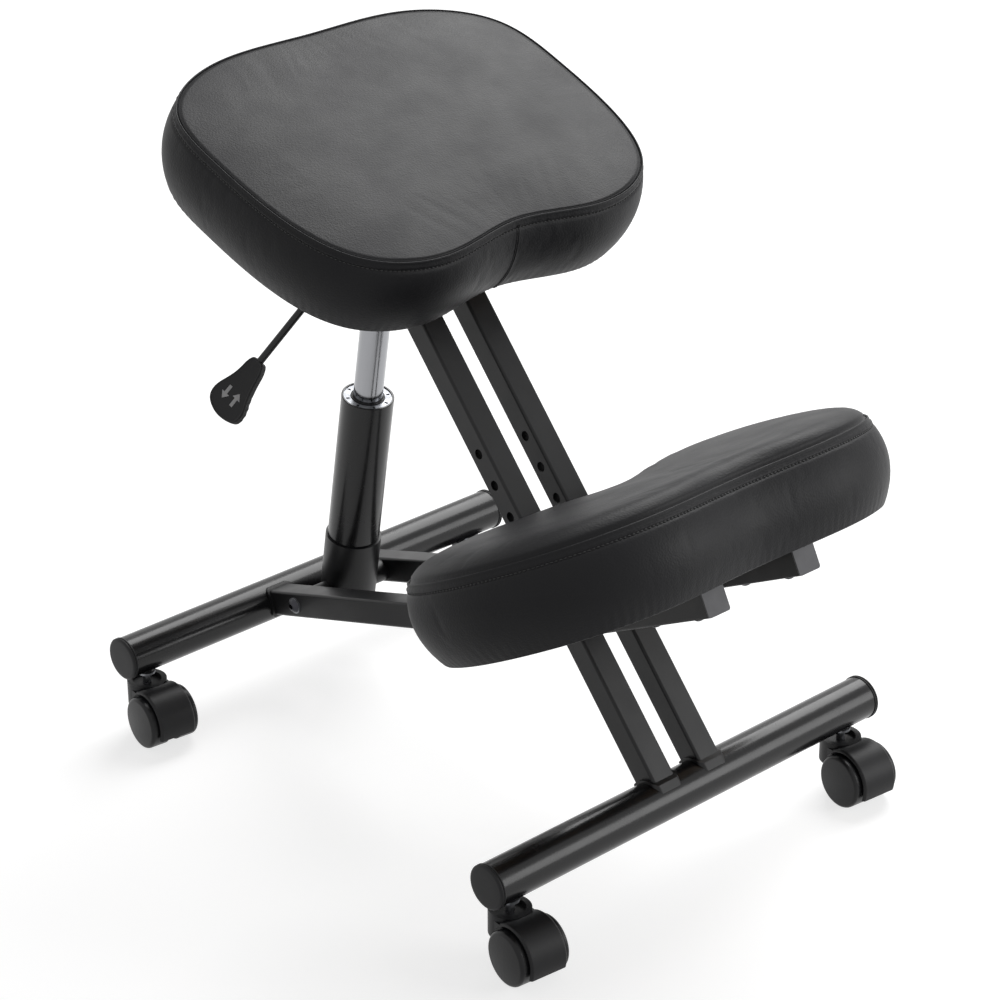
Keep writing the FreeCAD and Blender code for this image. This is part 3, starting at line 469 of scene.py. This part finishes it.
def stitches(name, track, outwards, body, material, pitch, length, radius, lift):
    """A row of stitches along a closed track of points (mm): each is a short rod with rounded
    ends, which stands out at the share s of its length by lift (1 - (2 s - 1)^4)."""
    closed = np.concatenate([track, track[:1]])
    ends = np.concatenate([[0], np.cumsum(np.linalg.norm(np.diff(closed, axis=0), axis=1))])
    count = int(round(ends[-1] / pitch))
    middle = (np.arange(count) + 0.5) * ends[-1] / count

    def along(values, way):
        wrapped = np.concatenate([values, values[:1]])
        return np.stack([np.interp(way % ends[-1], ends, wrapped[:, k]) for k in range(3)], -1)

    start, stop = along(track, middle - length / 2), along(track, middle + length / 2)
    up = along(outwards, middle)
    up /= np.linalg.norm(up, axis=1, keepdims=True)
    way = stop - start
    way /= np.linalg.norm(way, axis=1, keepdims=True)
    across = np.cross(up, way)
    sides = 6
    angle = np.arange(sides) * 2 * np.pi / sides
    ring = np.cos(angle)[:, None, None] * across + np.sin(angle)[:, None, None] * up
    profile = ((0.0, 0.25), (0.12, 0.75), (0.35, 1.0), (0.65, 1.0), (0.88, 0.75), (1.0, 0.25))
    rows = []
    for share, size in profile:
        arch = lift * (1 - (2 * share - 1) ** 4)
        centre = start + (stop - start) * share + up * arch
        rows.append(centre + ring * radius * size)
    points = np.stack(rows).transpose(2, 0, 1, 3)
    per = len(profile) * sides
    quads = []
    for row in range(len(profile) - 1):
        first = row * sides + np.arange(sides)
        quads.append(ring_faces(first, first + sides)[:, ::-1])
    one = np.concatenate(quads)
    faces = (one[None] + (np.arange(count) * per)[:, None, None]).reshape(-1, 4).tolist()
    caps = np.stack([np.arange(sides), (len(profile) - 1) * sides + np.arange(sides)[::-1]])
    faces += (caps[None] + (np.arange(count) * per)[:, None, None]).reshape(-1, sides).tolist()
    piece = mesh_piece(name, points.reshape(-1, 3) * MM, faces, material)
    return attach(piece, body)


def ring_normals(rings, index):
    """Outward surface normals along one ring."""
    along = np.roll(rings[index], -1, 0) - np.roll(rings[index], 1, 0)
    across = rings[index + 2] - rings[index - 2]
    normal = np.cross(along, across)
    normal /= np.linalg.norm(normal, axis=1, keepdims=True)
    centre = rings[index].mean(0)
    sign = np.sign(((rings[index] - centre)[:, :2] * normal[:, :2]).sum())
    return normal * sign


def cover(name, pad, at, degrees, body, node):
    """One finished cover with its topstitching, in place on its body."""
    moves = puffed(pad, name + "_trial")
    rings, stitch_ring = cover_rings(pad, moves)
    patch = pad.top(patch_share, patch_ring * patch_edge) + moves[0]
    closing = (0.0, pad.middle[1], pad.underside + board_t + board_gap)
    points, faces = cover_mesh(patch, rings, closing)
    piece = mesh_piece(name, tilted(points, at, degrees), faces, cover_cloth)
    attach(piece, body)
    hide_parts(node)
    track = tilted(rings[stitch_ring], at, degrees) / MM
    facing = turned_only(ring_normals(rings, stitch_ring), degrees)
    row = stitches(name + "_topstitch", track, facing, body, thread,
                   pitch=3.9, length=3.0, radius=0.75, lift=0.35)
    return piece, rings


seat_at = (105.9, 607.9)
seat_tilt = 19.0
seat_half = ((0, -156.3), (93.9, -169.0), (160.0, -143.4), (195.1, -50.6), (197.8, 16.5), (186.3, 87.8),
             (128.8, 130.7), (0, 140.3))
seat_pad = Pad(seat_half, -78.4, 0.0, 8.0, 3.0, 5.3, 8.2)
seat_cover, seat_rings = cover("seat_cover", seat_pad, seat_at, seat_tilt, "seat_frame",
                               "seat_cushion")

knee_at = (-339.1, 325.5)
knee_tilt = -28.0
knee_half = ((0, -16.8), (104.4, -23.0), (172.8, 2.1), (213.0, 56.2), (227.2, 124.1), (203.2, 191.1),
             (110.0, 204.2), (0, 148.2))
knee_pad = Pad(knee_half, 12.8, 87.5, 15.6, 17.8, 7.7, 9.4)
knee_cover, knee_rings = cover("knee_cover", knee_pad, knee_at, knee_tilt, "rear_frame",
                               "knee_cushion")


def join_line(name, pad, rings, share, at, degrees, body):
    """Where the border strip's ends meet: two rolled edges side by side down the border."""
    column = int(round(share * around)) % around
    first = next(i for i, ring in enumerate(rings) if ring[0, 2] <= pad.seam - 3.5)
    last = next(i for i, ring in enumerate(rings) if ring[0, 2] <= pad.underside + 0.5)
    run = np.array([rings[i][column] for i in range(first, last + 1)])
    out = np.append(outward(pad.curve, share), 0.0)
    along = np.array([out[1], -out[0], 0.0])
    section = np.array([(-2.4, -0.6), (-1.7, 0.35), (-0.9, 0.6), (-0.25, 0.1), (0.0, -0.5),
                        (0.25, 0.1), (0.9, 0.6), (1.7, 0.35), (2.4, -0.6)])
    points = run[:, None] + along * section[:, :1] + out * section[:, 1:]
    faces = grid_faces(len(run), len(section)).tolist()
    piece = mesh_piece(name, tilted(points, at, degrees), faces, cover_cloth)
    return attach(piece, body)


join_line("seat_border_join", seat_pad, seat_rings, 0.0, seat_at, seat_tilt, "seat_frame")
join_line("knee_border_join", knee_pad, knee_rings, 0.5, knee_at, knee_tilt, "rear_frame")


staple_wire, staple_tree = new_material("steel_wire_galvanised")
finish_material(staple_tree, add_node(staple_tree, "ShaderNodeBsdfPrincipled", {
    "Base Color": hex_colour("#a9abae"), "Metallic": 1.0, "Roughness": 0.38}))
staple_inset = 13.0
staple_drop = 1.5


def staple_row(name, pad, at, degrees, body):
    """Galvanised staples, 10 mm wide, that hold the turned hem against the board from below."""
    inner = outward(pad.curve, round_shares) * -(pad.inset + staple_inset)
    track = np.concatenate([pad.curve(round_shares) + inner,
                            np.full((around, 1), pad.underside - staple_drop)], 1)
    down = turned_only(np.tile((0.0, 0.0, -1.0), (around, 1)), degrees)
    return stitches(name, tilted(track, at, degrees) / MM, down, body, staple_wire,
                    pitch=17.0, length=10.0, radius=0.55, lift=0.0)


staple_row("seat_staples", seat_pad, seat_at, seat_tilt, "seat_frame")
staple_row("knee_staples", knee_pad, knee_at, knee_tilt, "rear_frame")


# Frame tubes. The crossbars, the diagonals and the rails are welded steel, sprayed with black
# enamel: the round bars and the column in full gloss, the square tubes in a softer satin.

def sprayed_enamel(name, roughness, code, coat):
    """Black stoving enamel on steel: it gives a deep gloss with the slight ripple of sprayed paint."""
    material, tree = new_material(name)
    place = add_node(tree, "ShaderNodeTexCoord").outputs["Object"]
    ripple_mm, dust_mm = 2.5, 22
    ripple = add_node(tree, "ShaderNodeTexNoise", {"Scale": 1 / (ripple_mm * MM), "Detail": 2.0},
                      {"Vector": place})
    dust = add_node(tree, "ShaderNodeTexNoise", {"Scale": 1 / (dust_mm * MM), "Detail": 5.0},
                    {"Vector": place})
    gloss = add_node(tree, "ShaderNodeMapRange",
                     {"From Min": 0.35, "From Max": 0.7,
                      "To Min": roughness * 0.92, "To Max": roughness * 1.1},
                     {"Value": dust.outputs["Fac"]})
    peel = add_node(tree, "ShaderNodeBump", {"Strength": 0.015, "Distance": 0.0004},
                    {"Height": ripple.outputs["Fac"]})
    colour = add_node(tree, "ShaderNodeMix",
                      {"data_type": "RGBA", "A": hex_colour(code), "B": hex_colour("#161618")},
                      {"Factor": dust.outputs["Fac"]})
    shader = add_node(tree, "ShaderNodeBsdfPrincipled",
                      {"IOR": 1.5, "Specular IOR Level": 0.3, "Coat Weight": coat,
                       "Coat Roughness": 0.12},
                      {"Base Color": colour.outputs["Result"], "Roughness": gloss.outputs["Result"],
                       "Normal": peel.outputs[0]})
    finish_material(tree, shader)
    return material


gloss_enamel = sprayed_enamel("stoved_enamel_gloss_black", 0.26, "#09090a", 0.12)
satin_enamel = sprayed_enamel("stoved_enamel_satin_black", 0.4, "#0b0b0c", 0.03)


def dress(material, *names):
    """Gives carried-over nodes their finish."""
    for name in names:
        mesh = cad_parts[name].data
        mesh.materials.clear()
        mesh.materials.append(material)


dress(gloss_enamel, "front_crossbar", "rear_crossbar", "column_tube", "lever_rod")
dress(satin_enamel, "diagonal_left", "diagonal_right", "rail_left", "rail_right", "front_weld_beads",
      "rear_weld_beads", "column_sleeve", "seat_bracket_plate", "bracket_cheeks", "lever_bracket",
      "lever_toe")


# Moulded plastic trim: polypropylene crossbar caps and castor hoods, grey plugs in the rails'
# front ends, the guide bush in the column's mouth, and the acetal bushes of the pivots.

def moulded_plastic(name, code, light_code, roughness, grain_mm):
    """Injection-moulded polymer from a spark-eroded mould: an even, fine-grained matt skin."""
    material, tree = new_material(name)
    place = add_node(tree, "ShaderNodeTexCoord").outputs["Object"]
    grain = add_node(tree, "ShaderNodeTexNoise",
                     {"Scale": 1 / (grain_mm * MM), "Detail": 3.0, "Roughness": 0.6}, {"Vector": place})
    scuff_mm = 14
    scuffs = add_node(tree, "ShaderNodeTexNoise", {"Scale": 1 / (scuff_mm * MM), "Detail": 6.0},
                      {"Vector": place})
    colour = add_node(tree, "ShaderNodeMix",
                      {"data_type": "RGBA", "A": hex_colour(code), "B": hex_colour(light_code)},
                      {"Factor": scuffs.outputs["Fac"]})
    skin = add_node(tree, "ShaderNodeBump", {"Strength": 0.2, "Distance": 0.0003},
                    {"Height": grain.outputs["Fac"]})
    shader = add_node(tree, "ShaderNodeBsdfPrincipled",
                      {"IOR": 1.49, "Specular IOR Level": 0.26, "Roughness": roughness},
                      {"Base Color": colour.outputs["Result"], "Normal": skin.outputs[0]})
    finish_material(tree, shader)
    return material


black_polypropylene = moulded_plastic("polypropylene_moulded_black", "#121213", "#1b1b1d", 0.46, 1.6)
smooth_nylon = moulded_plastic("nylon_moulded_black", "#141416", "#1e1e20", 0.34, 3.0)
grey_polypropylene = moulded_plastic("polypropylene_moulded_grey", "#5c5c5e", "#77777a", 0.5, 1.6)

dress(black_polypropylene, "front_crossbar_caps", "rear_crossbar_caps", "lever_paddle", "guide_bush")
dress(grey_polypropylene, "rail_end_plugs")
dress(smooth_nylon, "pivot_bushes", "cylinder_gland")
for corner in ("front_left", "front_right", "rear_left", "rear_right"):
    dress(black_polypropylene, "caster_hood_" + corner)
    dress(smooth_nylon, "wheel_" + corner + "_outer", "wheel_" + corner + "_inner")


# Lever paddle: a flat polypropylene grip moulded on the rod, with a rounded rim, finger ribs on
# its lower edge and an arrow up and an arrow down printed in white on its face.

lever_at = (-33.0, -16.0, -100.0)
lever_angle = 51.7


def from_lever(points):
    """Points (off the paddle's face, across it, out along the rod) in mm, as metres in the frame.
    The rod points down to the side by lever_angle, in the seat's tilted frame."""
    turn = math.radians(-90 - lever_angle)
    off, across, out = np.moveaxis(np.asarray(points, float), -1, 0)
    x = off * math.cos(turn) + out * math.sin(turn)
    w = -off * math.sin(turn) + out * math.cos(turn)
    local = np.stack([x, across, w], -1) + np.array(lever_at)
    return tilted(local, seat_at, seat_tilt)


paddle_outline = ((0, 153.2), (-6.3, 153.5), (-9.0, 156.6), (-13.2, 170.5), (-18.8, 188.0),
                  (-23.6, 201.0),
                  (-21.6, 209.8), (-12.5, 214.0), (-1.5, 215.0), (9.5, 212.6), (18.2, 206.2),
                  (19.8, 197.5),
                  (15.6, 185.0), (10.6, 169.0), (8.2, 156.6), (5.8, 153.5))
paddle_curve = closed_curve(paddle_outline)
paddle_middle = np.array(paddle_outline).mean(0)
paddle_side = np.sign(((paddle_curve(0.3) - paddle_middle) * outward(paddle_curve, 0.3)).sum())
paddle_count = 240
rib_pitch = 6.2
rib_depth = 0.9
rib_first = 183
grip_start = 180
grip_end = 208
grip_edge = -8


def paddle_ring(off, inset, ribs):
    """A ring of the paddle, off its middle plane and drawn in by the inset, in mm. The finger ribs
    are rib_depth (0.5 + 0.5 cos(2 pi (y - rib_first) / rib_pitch)) deep on the lower edge."""
    shares = np.arange(paddle_count) / paddle_count
    flat = paddle_curve(shares)
    x, y = flat.T
    grip = (x < grip_edge) * np.clip((y - grip_start) / 6, 0, 1) * np.clip((grip_end - y) / 4, 0, 1)
    waves = rib_depth * (0.5 + 0.5 * np.cos(2 * np.pi * (y - rib_first) / rib_pitch)) * grip * ribs
    flat = flat + outward(paddle_curve, shares) * paddle_side * (-(inset + waves))[:, None]
    return np.concatenate([np.full((paddle_count, 1), off), flat], 1)


# Each ring from the back to the sunk face: off, inset and the share of the ribs' depth.
paddle_levels = ((-4.0, 1.6, 0), (-3.7, 0.7, 0.6), (-3.0, 0.2, 1), (-1.2, 0.0, 1), (0.8, 0.0, 1),
                 (1.6, 0.0, 0.4), (2.2, 0.0, 0), (3.0, 0.0, 0), (3.6, 0.2, 0), (3.95, 0.6, 0),
                 (4.0, 1.1, 0), (3.9, 1.5, 0), (3.55, 1.8, 0), (3.5, 2.4, 0))
rows = [paddle_ring(*level) for level in paddle_levels]
numbers = np.arange(len(rows) * paddle_count).reshape(len(rows), paddle_count)
faces = np.concatenate([ring_faces(*pair) for pair in zip(numbers, numbers[1:])]).tolist()
back, face = numbers[0], numbers[-1]
ends = np.array([(paddle_levels[0][0], *paddle_middle), (paddle_levels[-1][0], *paddle_middle)])
faces += np.stack([np.roll(back, -1), np.full(paddle_count, numbers.size), back], 1).tolist()
faces += np.stack([face, np.full(paddle_count, numbers.size + 1), np.roll(face, -1)], 1).tolist()
paddle = mesh_piece("lever_paddle_grip", from_lever(np.concatenate(rows + [ends])), faces,
                    black_polypropylene)
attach(paddle, "release_lever")
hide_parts("lever_paddle")

printed_white, ink_tree = new_material("tampo_ink_white")
finish_material(ink_tree, add_node(ink_tree, "ShaderNodeBsdfPrincipled",
                                   {"Base Color": hex_colour("#cfcfd1"), "Roughness": 0.5}))
arrow_shape = np.array([(0, 7.0), (5.0, 1.2), (1.8, 1.2), (1.8, -7.0), (-1.8, -7.0), (-1.8, 1.2),
                        (-5.0, 1.2)])
arrow_size = len(arrow_shape)
arrow_out = 194.0
ink_levels = (3.45, 3.62)
points, faces = [], []
for across, way in ((-7.5, 1), (5.5, -1)):
    low = 2 * arrow_size * (way < 0) + np.arange(arrow_size)
    outline = (across, arrow_out) + arrow_shape * (way, -way)
    points += [np.column_stack([np.full(arrow_size, level), outline]) for level in ink_levels]
    faces += [(low + arrow_size).tolist()] + ring_faces(low + arrow_size, low).tolist()
arrows = mesh_piece("lever_paddle_arrows", from_lever(np.concatenate(points)), faces, printed_white,
                    smooth=False)
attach(arrows, "release_lever")


# Crossbar end caps: moulded plugs, pressed into the round bars; the flange has a rounded rim and
# a groove round it, so that it reads as two thin rings.

bar_height = 85.2
bar_half = 234.0
bar_away = 258.2
cap_profile = ((0.0, 0.0), (0.0, 9.0), (0.0, 17.6), (0.12, 18.6), (0.45, 19.6), (1.0, 20.35),
               (1.6, 20.7),
               (2.2, 20.72), (2.65, 20.4), (2.85, 19.7), (3.15, 19.7), (3.35, 20.4), (3.7, 20.75),
               (4.4, 20.78), (4.9, 20.5), (5.0, 19.4), (5.0, 17.95), (18.6, 17.95), (19.0, 17.5),
               (19.0, 16.2),
               (6.0, 16.0), (6.0, 0.0))


def lathe(profile, sides=96):
    """A closed surface of revolution about X from (inwards, radius) points, as (x, y, z)."""
    angle = np.arange(sides) * 2 * np.pi / sides
    points, faces, last = [], [], None
    for inwards, radius in profile:
        if radius == 0:
            points.append(np.array([(inwards, 0.0, 0.0)]))
            here = np.full(sides, sum(len(p) for p in points) - 1)
        else:
            ring = np.stack([np.full(sides, inwards), radius * np.cos(angle),
                             radius * np.sin(angle)], 1)
            here = sum(len(p) for p in points) + np.arange(sides)
            points.append(ring)
        if last is not None:
            quads = np.stack([last, here, np.roll(here, -1), np.roll(last, -1)], 1)
            faces += [list(dict.fromkeys(q)) for q in quads.tolist()]
        last = here
    return np.concatenate(points), faces


cap_points, cap_faces = lathe(cap_profile)
for name, away, body in (("front", -bar_away, "seat_frame"), ("rear", bar_away, "rear_frame")):
    both, faces = [], []
    for side in (-1, 1):
        turned = cap_faces if side < 0 else [face[::-1] for face in cap_faces]
        faces += [[i + len(cap_points) * len(both) for i in face] for face in turned]
        inwards, y, z = cap_points.T
        both.append(np.stack([side * (bar_half - inwards), away + y, bar_height + z], 1))
    caps = mesh_piece(name + "_cap_mouldings", in_chair(np.concatenate(both)), faces,
                      black_polypropylene)
    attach(caps, body)
    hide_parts(name + "_crossbar_caps")


# Bright metal: the chromed gas cylinder, the ground rod and axles, zinc-plated stems, washers,
# nuts and tee nuts, and the blackened bolts.

def bare_metal(name, code, roughness, streak_mm):
    """Machined or plated steel: fine turning marks and a slightly uneven polish."""
    material, tree = new_material(name)
    place = add_node(tree, "ShaderNodeTexCoord").outputs["Object"]
    marks = add_node(tree, "ShaderNodeTexNoise",
                     {"Scale": 1 / (streak_mm * MM), "Detail": 5.0, "Roughness": 0.65},
                     {"Vector": place})
    polish = add_node(tree, "ShaderNodeMapRange",
                      {"From Min": 0.3, "From Max": 0.7,
                       "To Min": roughness * 0.7, "To Max": roughness * 1.4},
                      {"Value": marks.outputs["Fac"]})
    relief = add_node(tree, "ShaderNodeBump", {"Strength": 0.05, "Distance": 0.0003},
                      {"Height": marks.outputs["Fac"]})
    shader = add_node(tree, "ShaderNodeBsdfPrincipled", {"Base Color": hex_colour(code),
                                                         "Metallic": 1.0},
                      {"Roughness": polish.outputs["Result"], "Normal": relief.outputs[0]})
    finish_material(tree, shader)
    return material


chromed_steel = bare_metal("steel_hard_chromed", "#98999c", 0.16, 30.0)
ground_steel = bare_metal("steel_ground", "#b9b9bc", 0.26, 4.0)
zinc_plated = bare_metal("steel_zinc_plated", "#8e9094", 0.36, 6.0)
blackened_steel = bare_metal("steel_blackened", "#3c3c40", 0.32, 5.0)

dress(chromed_steel, "pressure_cylinder")
dress(ground_steel, "piston_rod", "lever_pin")
dress(zinc_plated, "front_caster_stems", "rear_caster_stems", "retaining_ring", "lock_nuts",
      "frame_washers",
      "knee_tee_nuts", "seat_tee_nuts", "valve_button", "trunnion_bolts", "pivot_spacer")
dress(blackened_steel, "frame_bolts", "knee_screws", "seat_screws", "gas_head")
for corner in ("front_left", "front_right", "rear_left", "rear_right"):
    dress(ground_steel, "caster_axle_" + corner)


# Boards under the pads: birch plywood, cut and left raw.

def plywood():
    """Raw birch plywood: pale brown faces with long grain."""
    material, tree = new_material("birch_plywood_raw")
    place = add_node(tree, "ShaderNodeTexCoord").outputs["Object"]
    stretched = add_node(tree, "ShaderNodeMapping", {"Scale": (3.0, 0.35, 3.0)}, {"Vector": place})
    grain = add_node(tree, "ShaderNodeTexNoise", {"Scale": 60.0, "Detail": 8.0, "Roughness": 0.7},
                     {"Vector": stretched.outputs[0]})
    colour = add_node(tree, "ShaderNodeMix",
                      {"data_type": "RGBA", "A": hex_colour("#8a6a45"), "B": hex_colour("#c3a27a")},
                      {"Factor": grain.outputs["Fac"]})
    fibres = add_node(tree, "ShaderNodeBump", {"Strength": 0.3, "Distance": 0.0004},
                      {"Height": grain.outputs["Fac"]})
    shader = add_node(tree, "ShaderNodeBsdfPrincipled", {"Roughness": 0.7},
                      {"Base Color": colour.outputs["Result"], "Normal": fibres.outputs[0]})
    finish_material(tree, shader)
    return material


dress(plywood(), "seat_board", "knee_board")


# The studio: a white floor that keeps a soft shadow and is clear from below, white surroundings,
# a large soft lamp above on the right and a weaker one in front, and the photograph's camera.

def seen_by(tree, *kinds):
    """1 for rays of these kinds, 0 for all others."""
    path = add_node(tree, "ShaderNodeLightPath")
    seen = path.outputs[kinds[0]]
    for kind in kinds[1:]:
        seen = add_node(tree, "ShaderNodeMath", {"operation": "MAXIMUM"},
                        {0: seen, 1: path.outputs[kind]}).outputs[0]
    return seen


def studio_floor():
    """Matt grey that takes the shadow, with a glow on it that only the eye sees."""
    material, tree = new_material("studio_floor_white")
    own = add_node(tree, "ShaderNodeEmission", {"Color": (1, 1, 1, 1), "Strength": 0.72})
    lit = add_node(tree, "ShaderNodeBsdfDiffuse", {"Color": hex_colour("#bcbcbc")})
    both = add_node(tree, "ShaderNodeAddShader", links={0: own.outputs[0], 1: lit.outputs[0]})
    above = add_node(tree, "ShaderNodeMixShader", links={
        0: seen_by(tree, "Is Camera Ray", "Is Glossy Ray"), 1: lit.outputs[0], 2: both.outputs[0]})
    side = add_node(tree, "ShaderNodeNewGeometry")
    clear = add_node(tree, "ShaderNodeBsdfTransparent")
    finish_material(tree, add_node(tree, "ShaderNodeMixShader", links={
        0: side.outputs["Backfacing"], 1: above.outputs[0], 2: clear.outputs[0]}))
    return material


floor_half = 30.0
corners = floor_half * np.array([(-1, -1, 0), (1, -1, 0), (1, 1, 0), (-1, 1, 0)])
floor = mesh_piece("studio_floor", corners, [(0, 1, 2, 3)], studio_floor(), smooth=False)

world = bpy.data.worlds.new("studio_surroundings")
bpy.context.scene.world = world
world.use_nodes = True
sky = world.node_tree
sky.nodes.clear()
ambient = add_node(sky, "ShaderNodeBackground", {"Color": (1, 1, 1, 1), "Strength": 0.22})
white = add_node(sky, "ShaderNodeBackground", {"Color": (1, 1, 1, 1), "Strength": 1.0})
mixed = add_node(sky, "ShaderNodeMixShader", links={
    0: seen_by(sky, "Is Camera Ray", "Is Glossy Ray", "Is Transmission Ray"),
    1: ambient.outputs[0], 2: white.outputs[0]})
add_node(sky, "ShaderNodeOutputWorld", links={"Surface": mixed.outputs[0]})


def soft_lamp(name, place, aim, size, power):
    data = bpy.data.lights.new(name, "AREA")
    data.shape = "SQUARE"
    data.size = size
    data.energy = power
    lamp = bpy.data.objects.new(name, data)
    bpy.context.scene.collection.objects.link(lamp)
    lamp.location = place
    lamp.rotation_mode = "QUATERNION"
    lamp.rotation_quaternion = (Vector(aim) - Vector(place)).to_track_quat("-Z", "Y")
    return lamp


soft_lamp("lamp_above_right", (1.75, 0.75, 2.6), (0, 0, 0.45), 2.3, 92)
soft_lamp("lamp_front_right", (1.7, -2.2, 1.0), (0, 0, 0.3), 1.4, 26)

camera_at = (-1653.16, -1853.77, 1534.80)
camera_azimuth = -0.7330
camera_elevation = 0.4705
camera_roll = -0.0026
focal_length = 3067.6
picture_width = 1000
sensor_width = 36.0
camera_data = bpy.data.cameras.new("camera")
camera_data.sensor_width = sensor_width
camera_data.lens = focal_length / picture_width * sensor_width
camera_data.clip_end = 100.0
camera = bpy.data.objects.new("camera", camera_data)
bpy.context.scene.collection.objects.link(camera)
back = Vector((math.sin(camera_azimuth) * math.cos(camera_elevation),
               -math.cos(camera_azimuth) * math.cos(camera_elevation),
               math.sin(camera_elevation)))
right = Vector((math.cos(camera_azimuth), math.sin(camera_azimuth), 0))
up = back.cross(right)
turned_right = right * math.cos(camera_roll) + up * math.sin(camera_roll)
turned_up = up * math.cos(camera_roll) - right * math.sin(camera_roll)
facing = Matrix((turned_right, turned_up, back)).transposed().to_4x4()
camera.matrix_world = Matrix.Translation(in_chair(camera_at)) @ facing
bpy.context.scene.camera = camera
bpy.context.scene.view_settings.view_transform = "Standard"
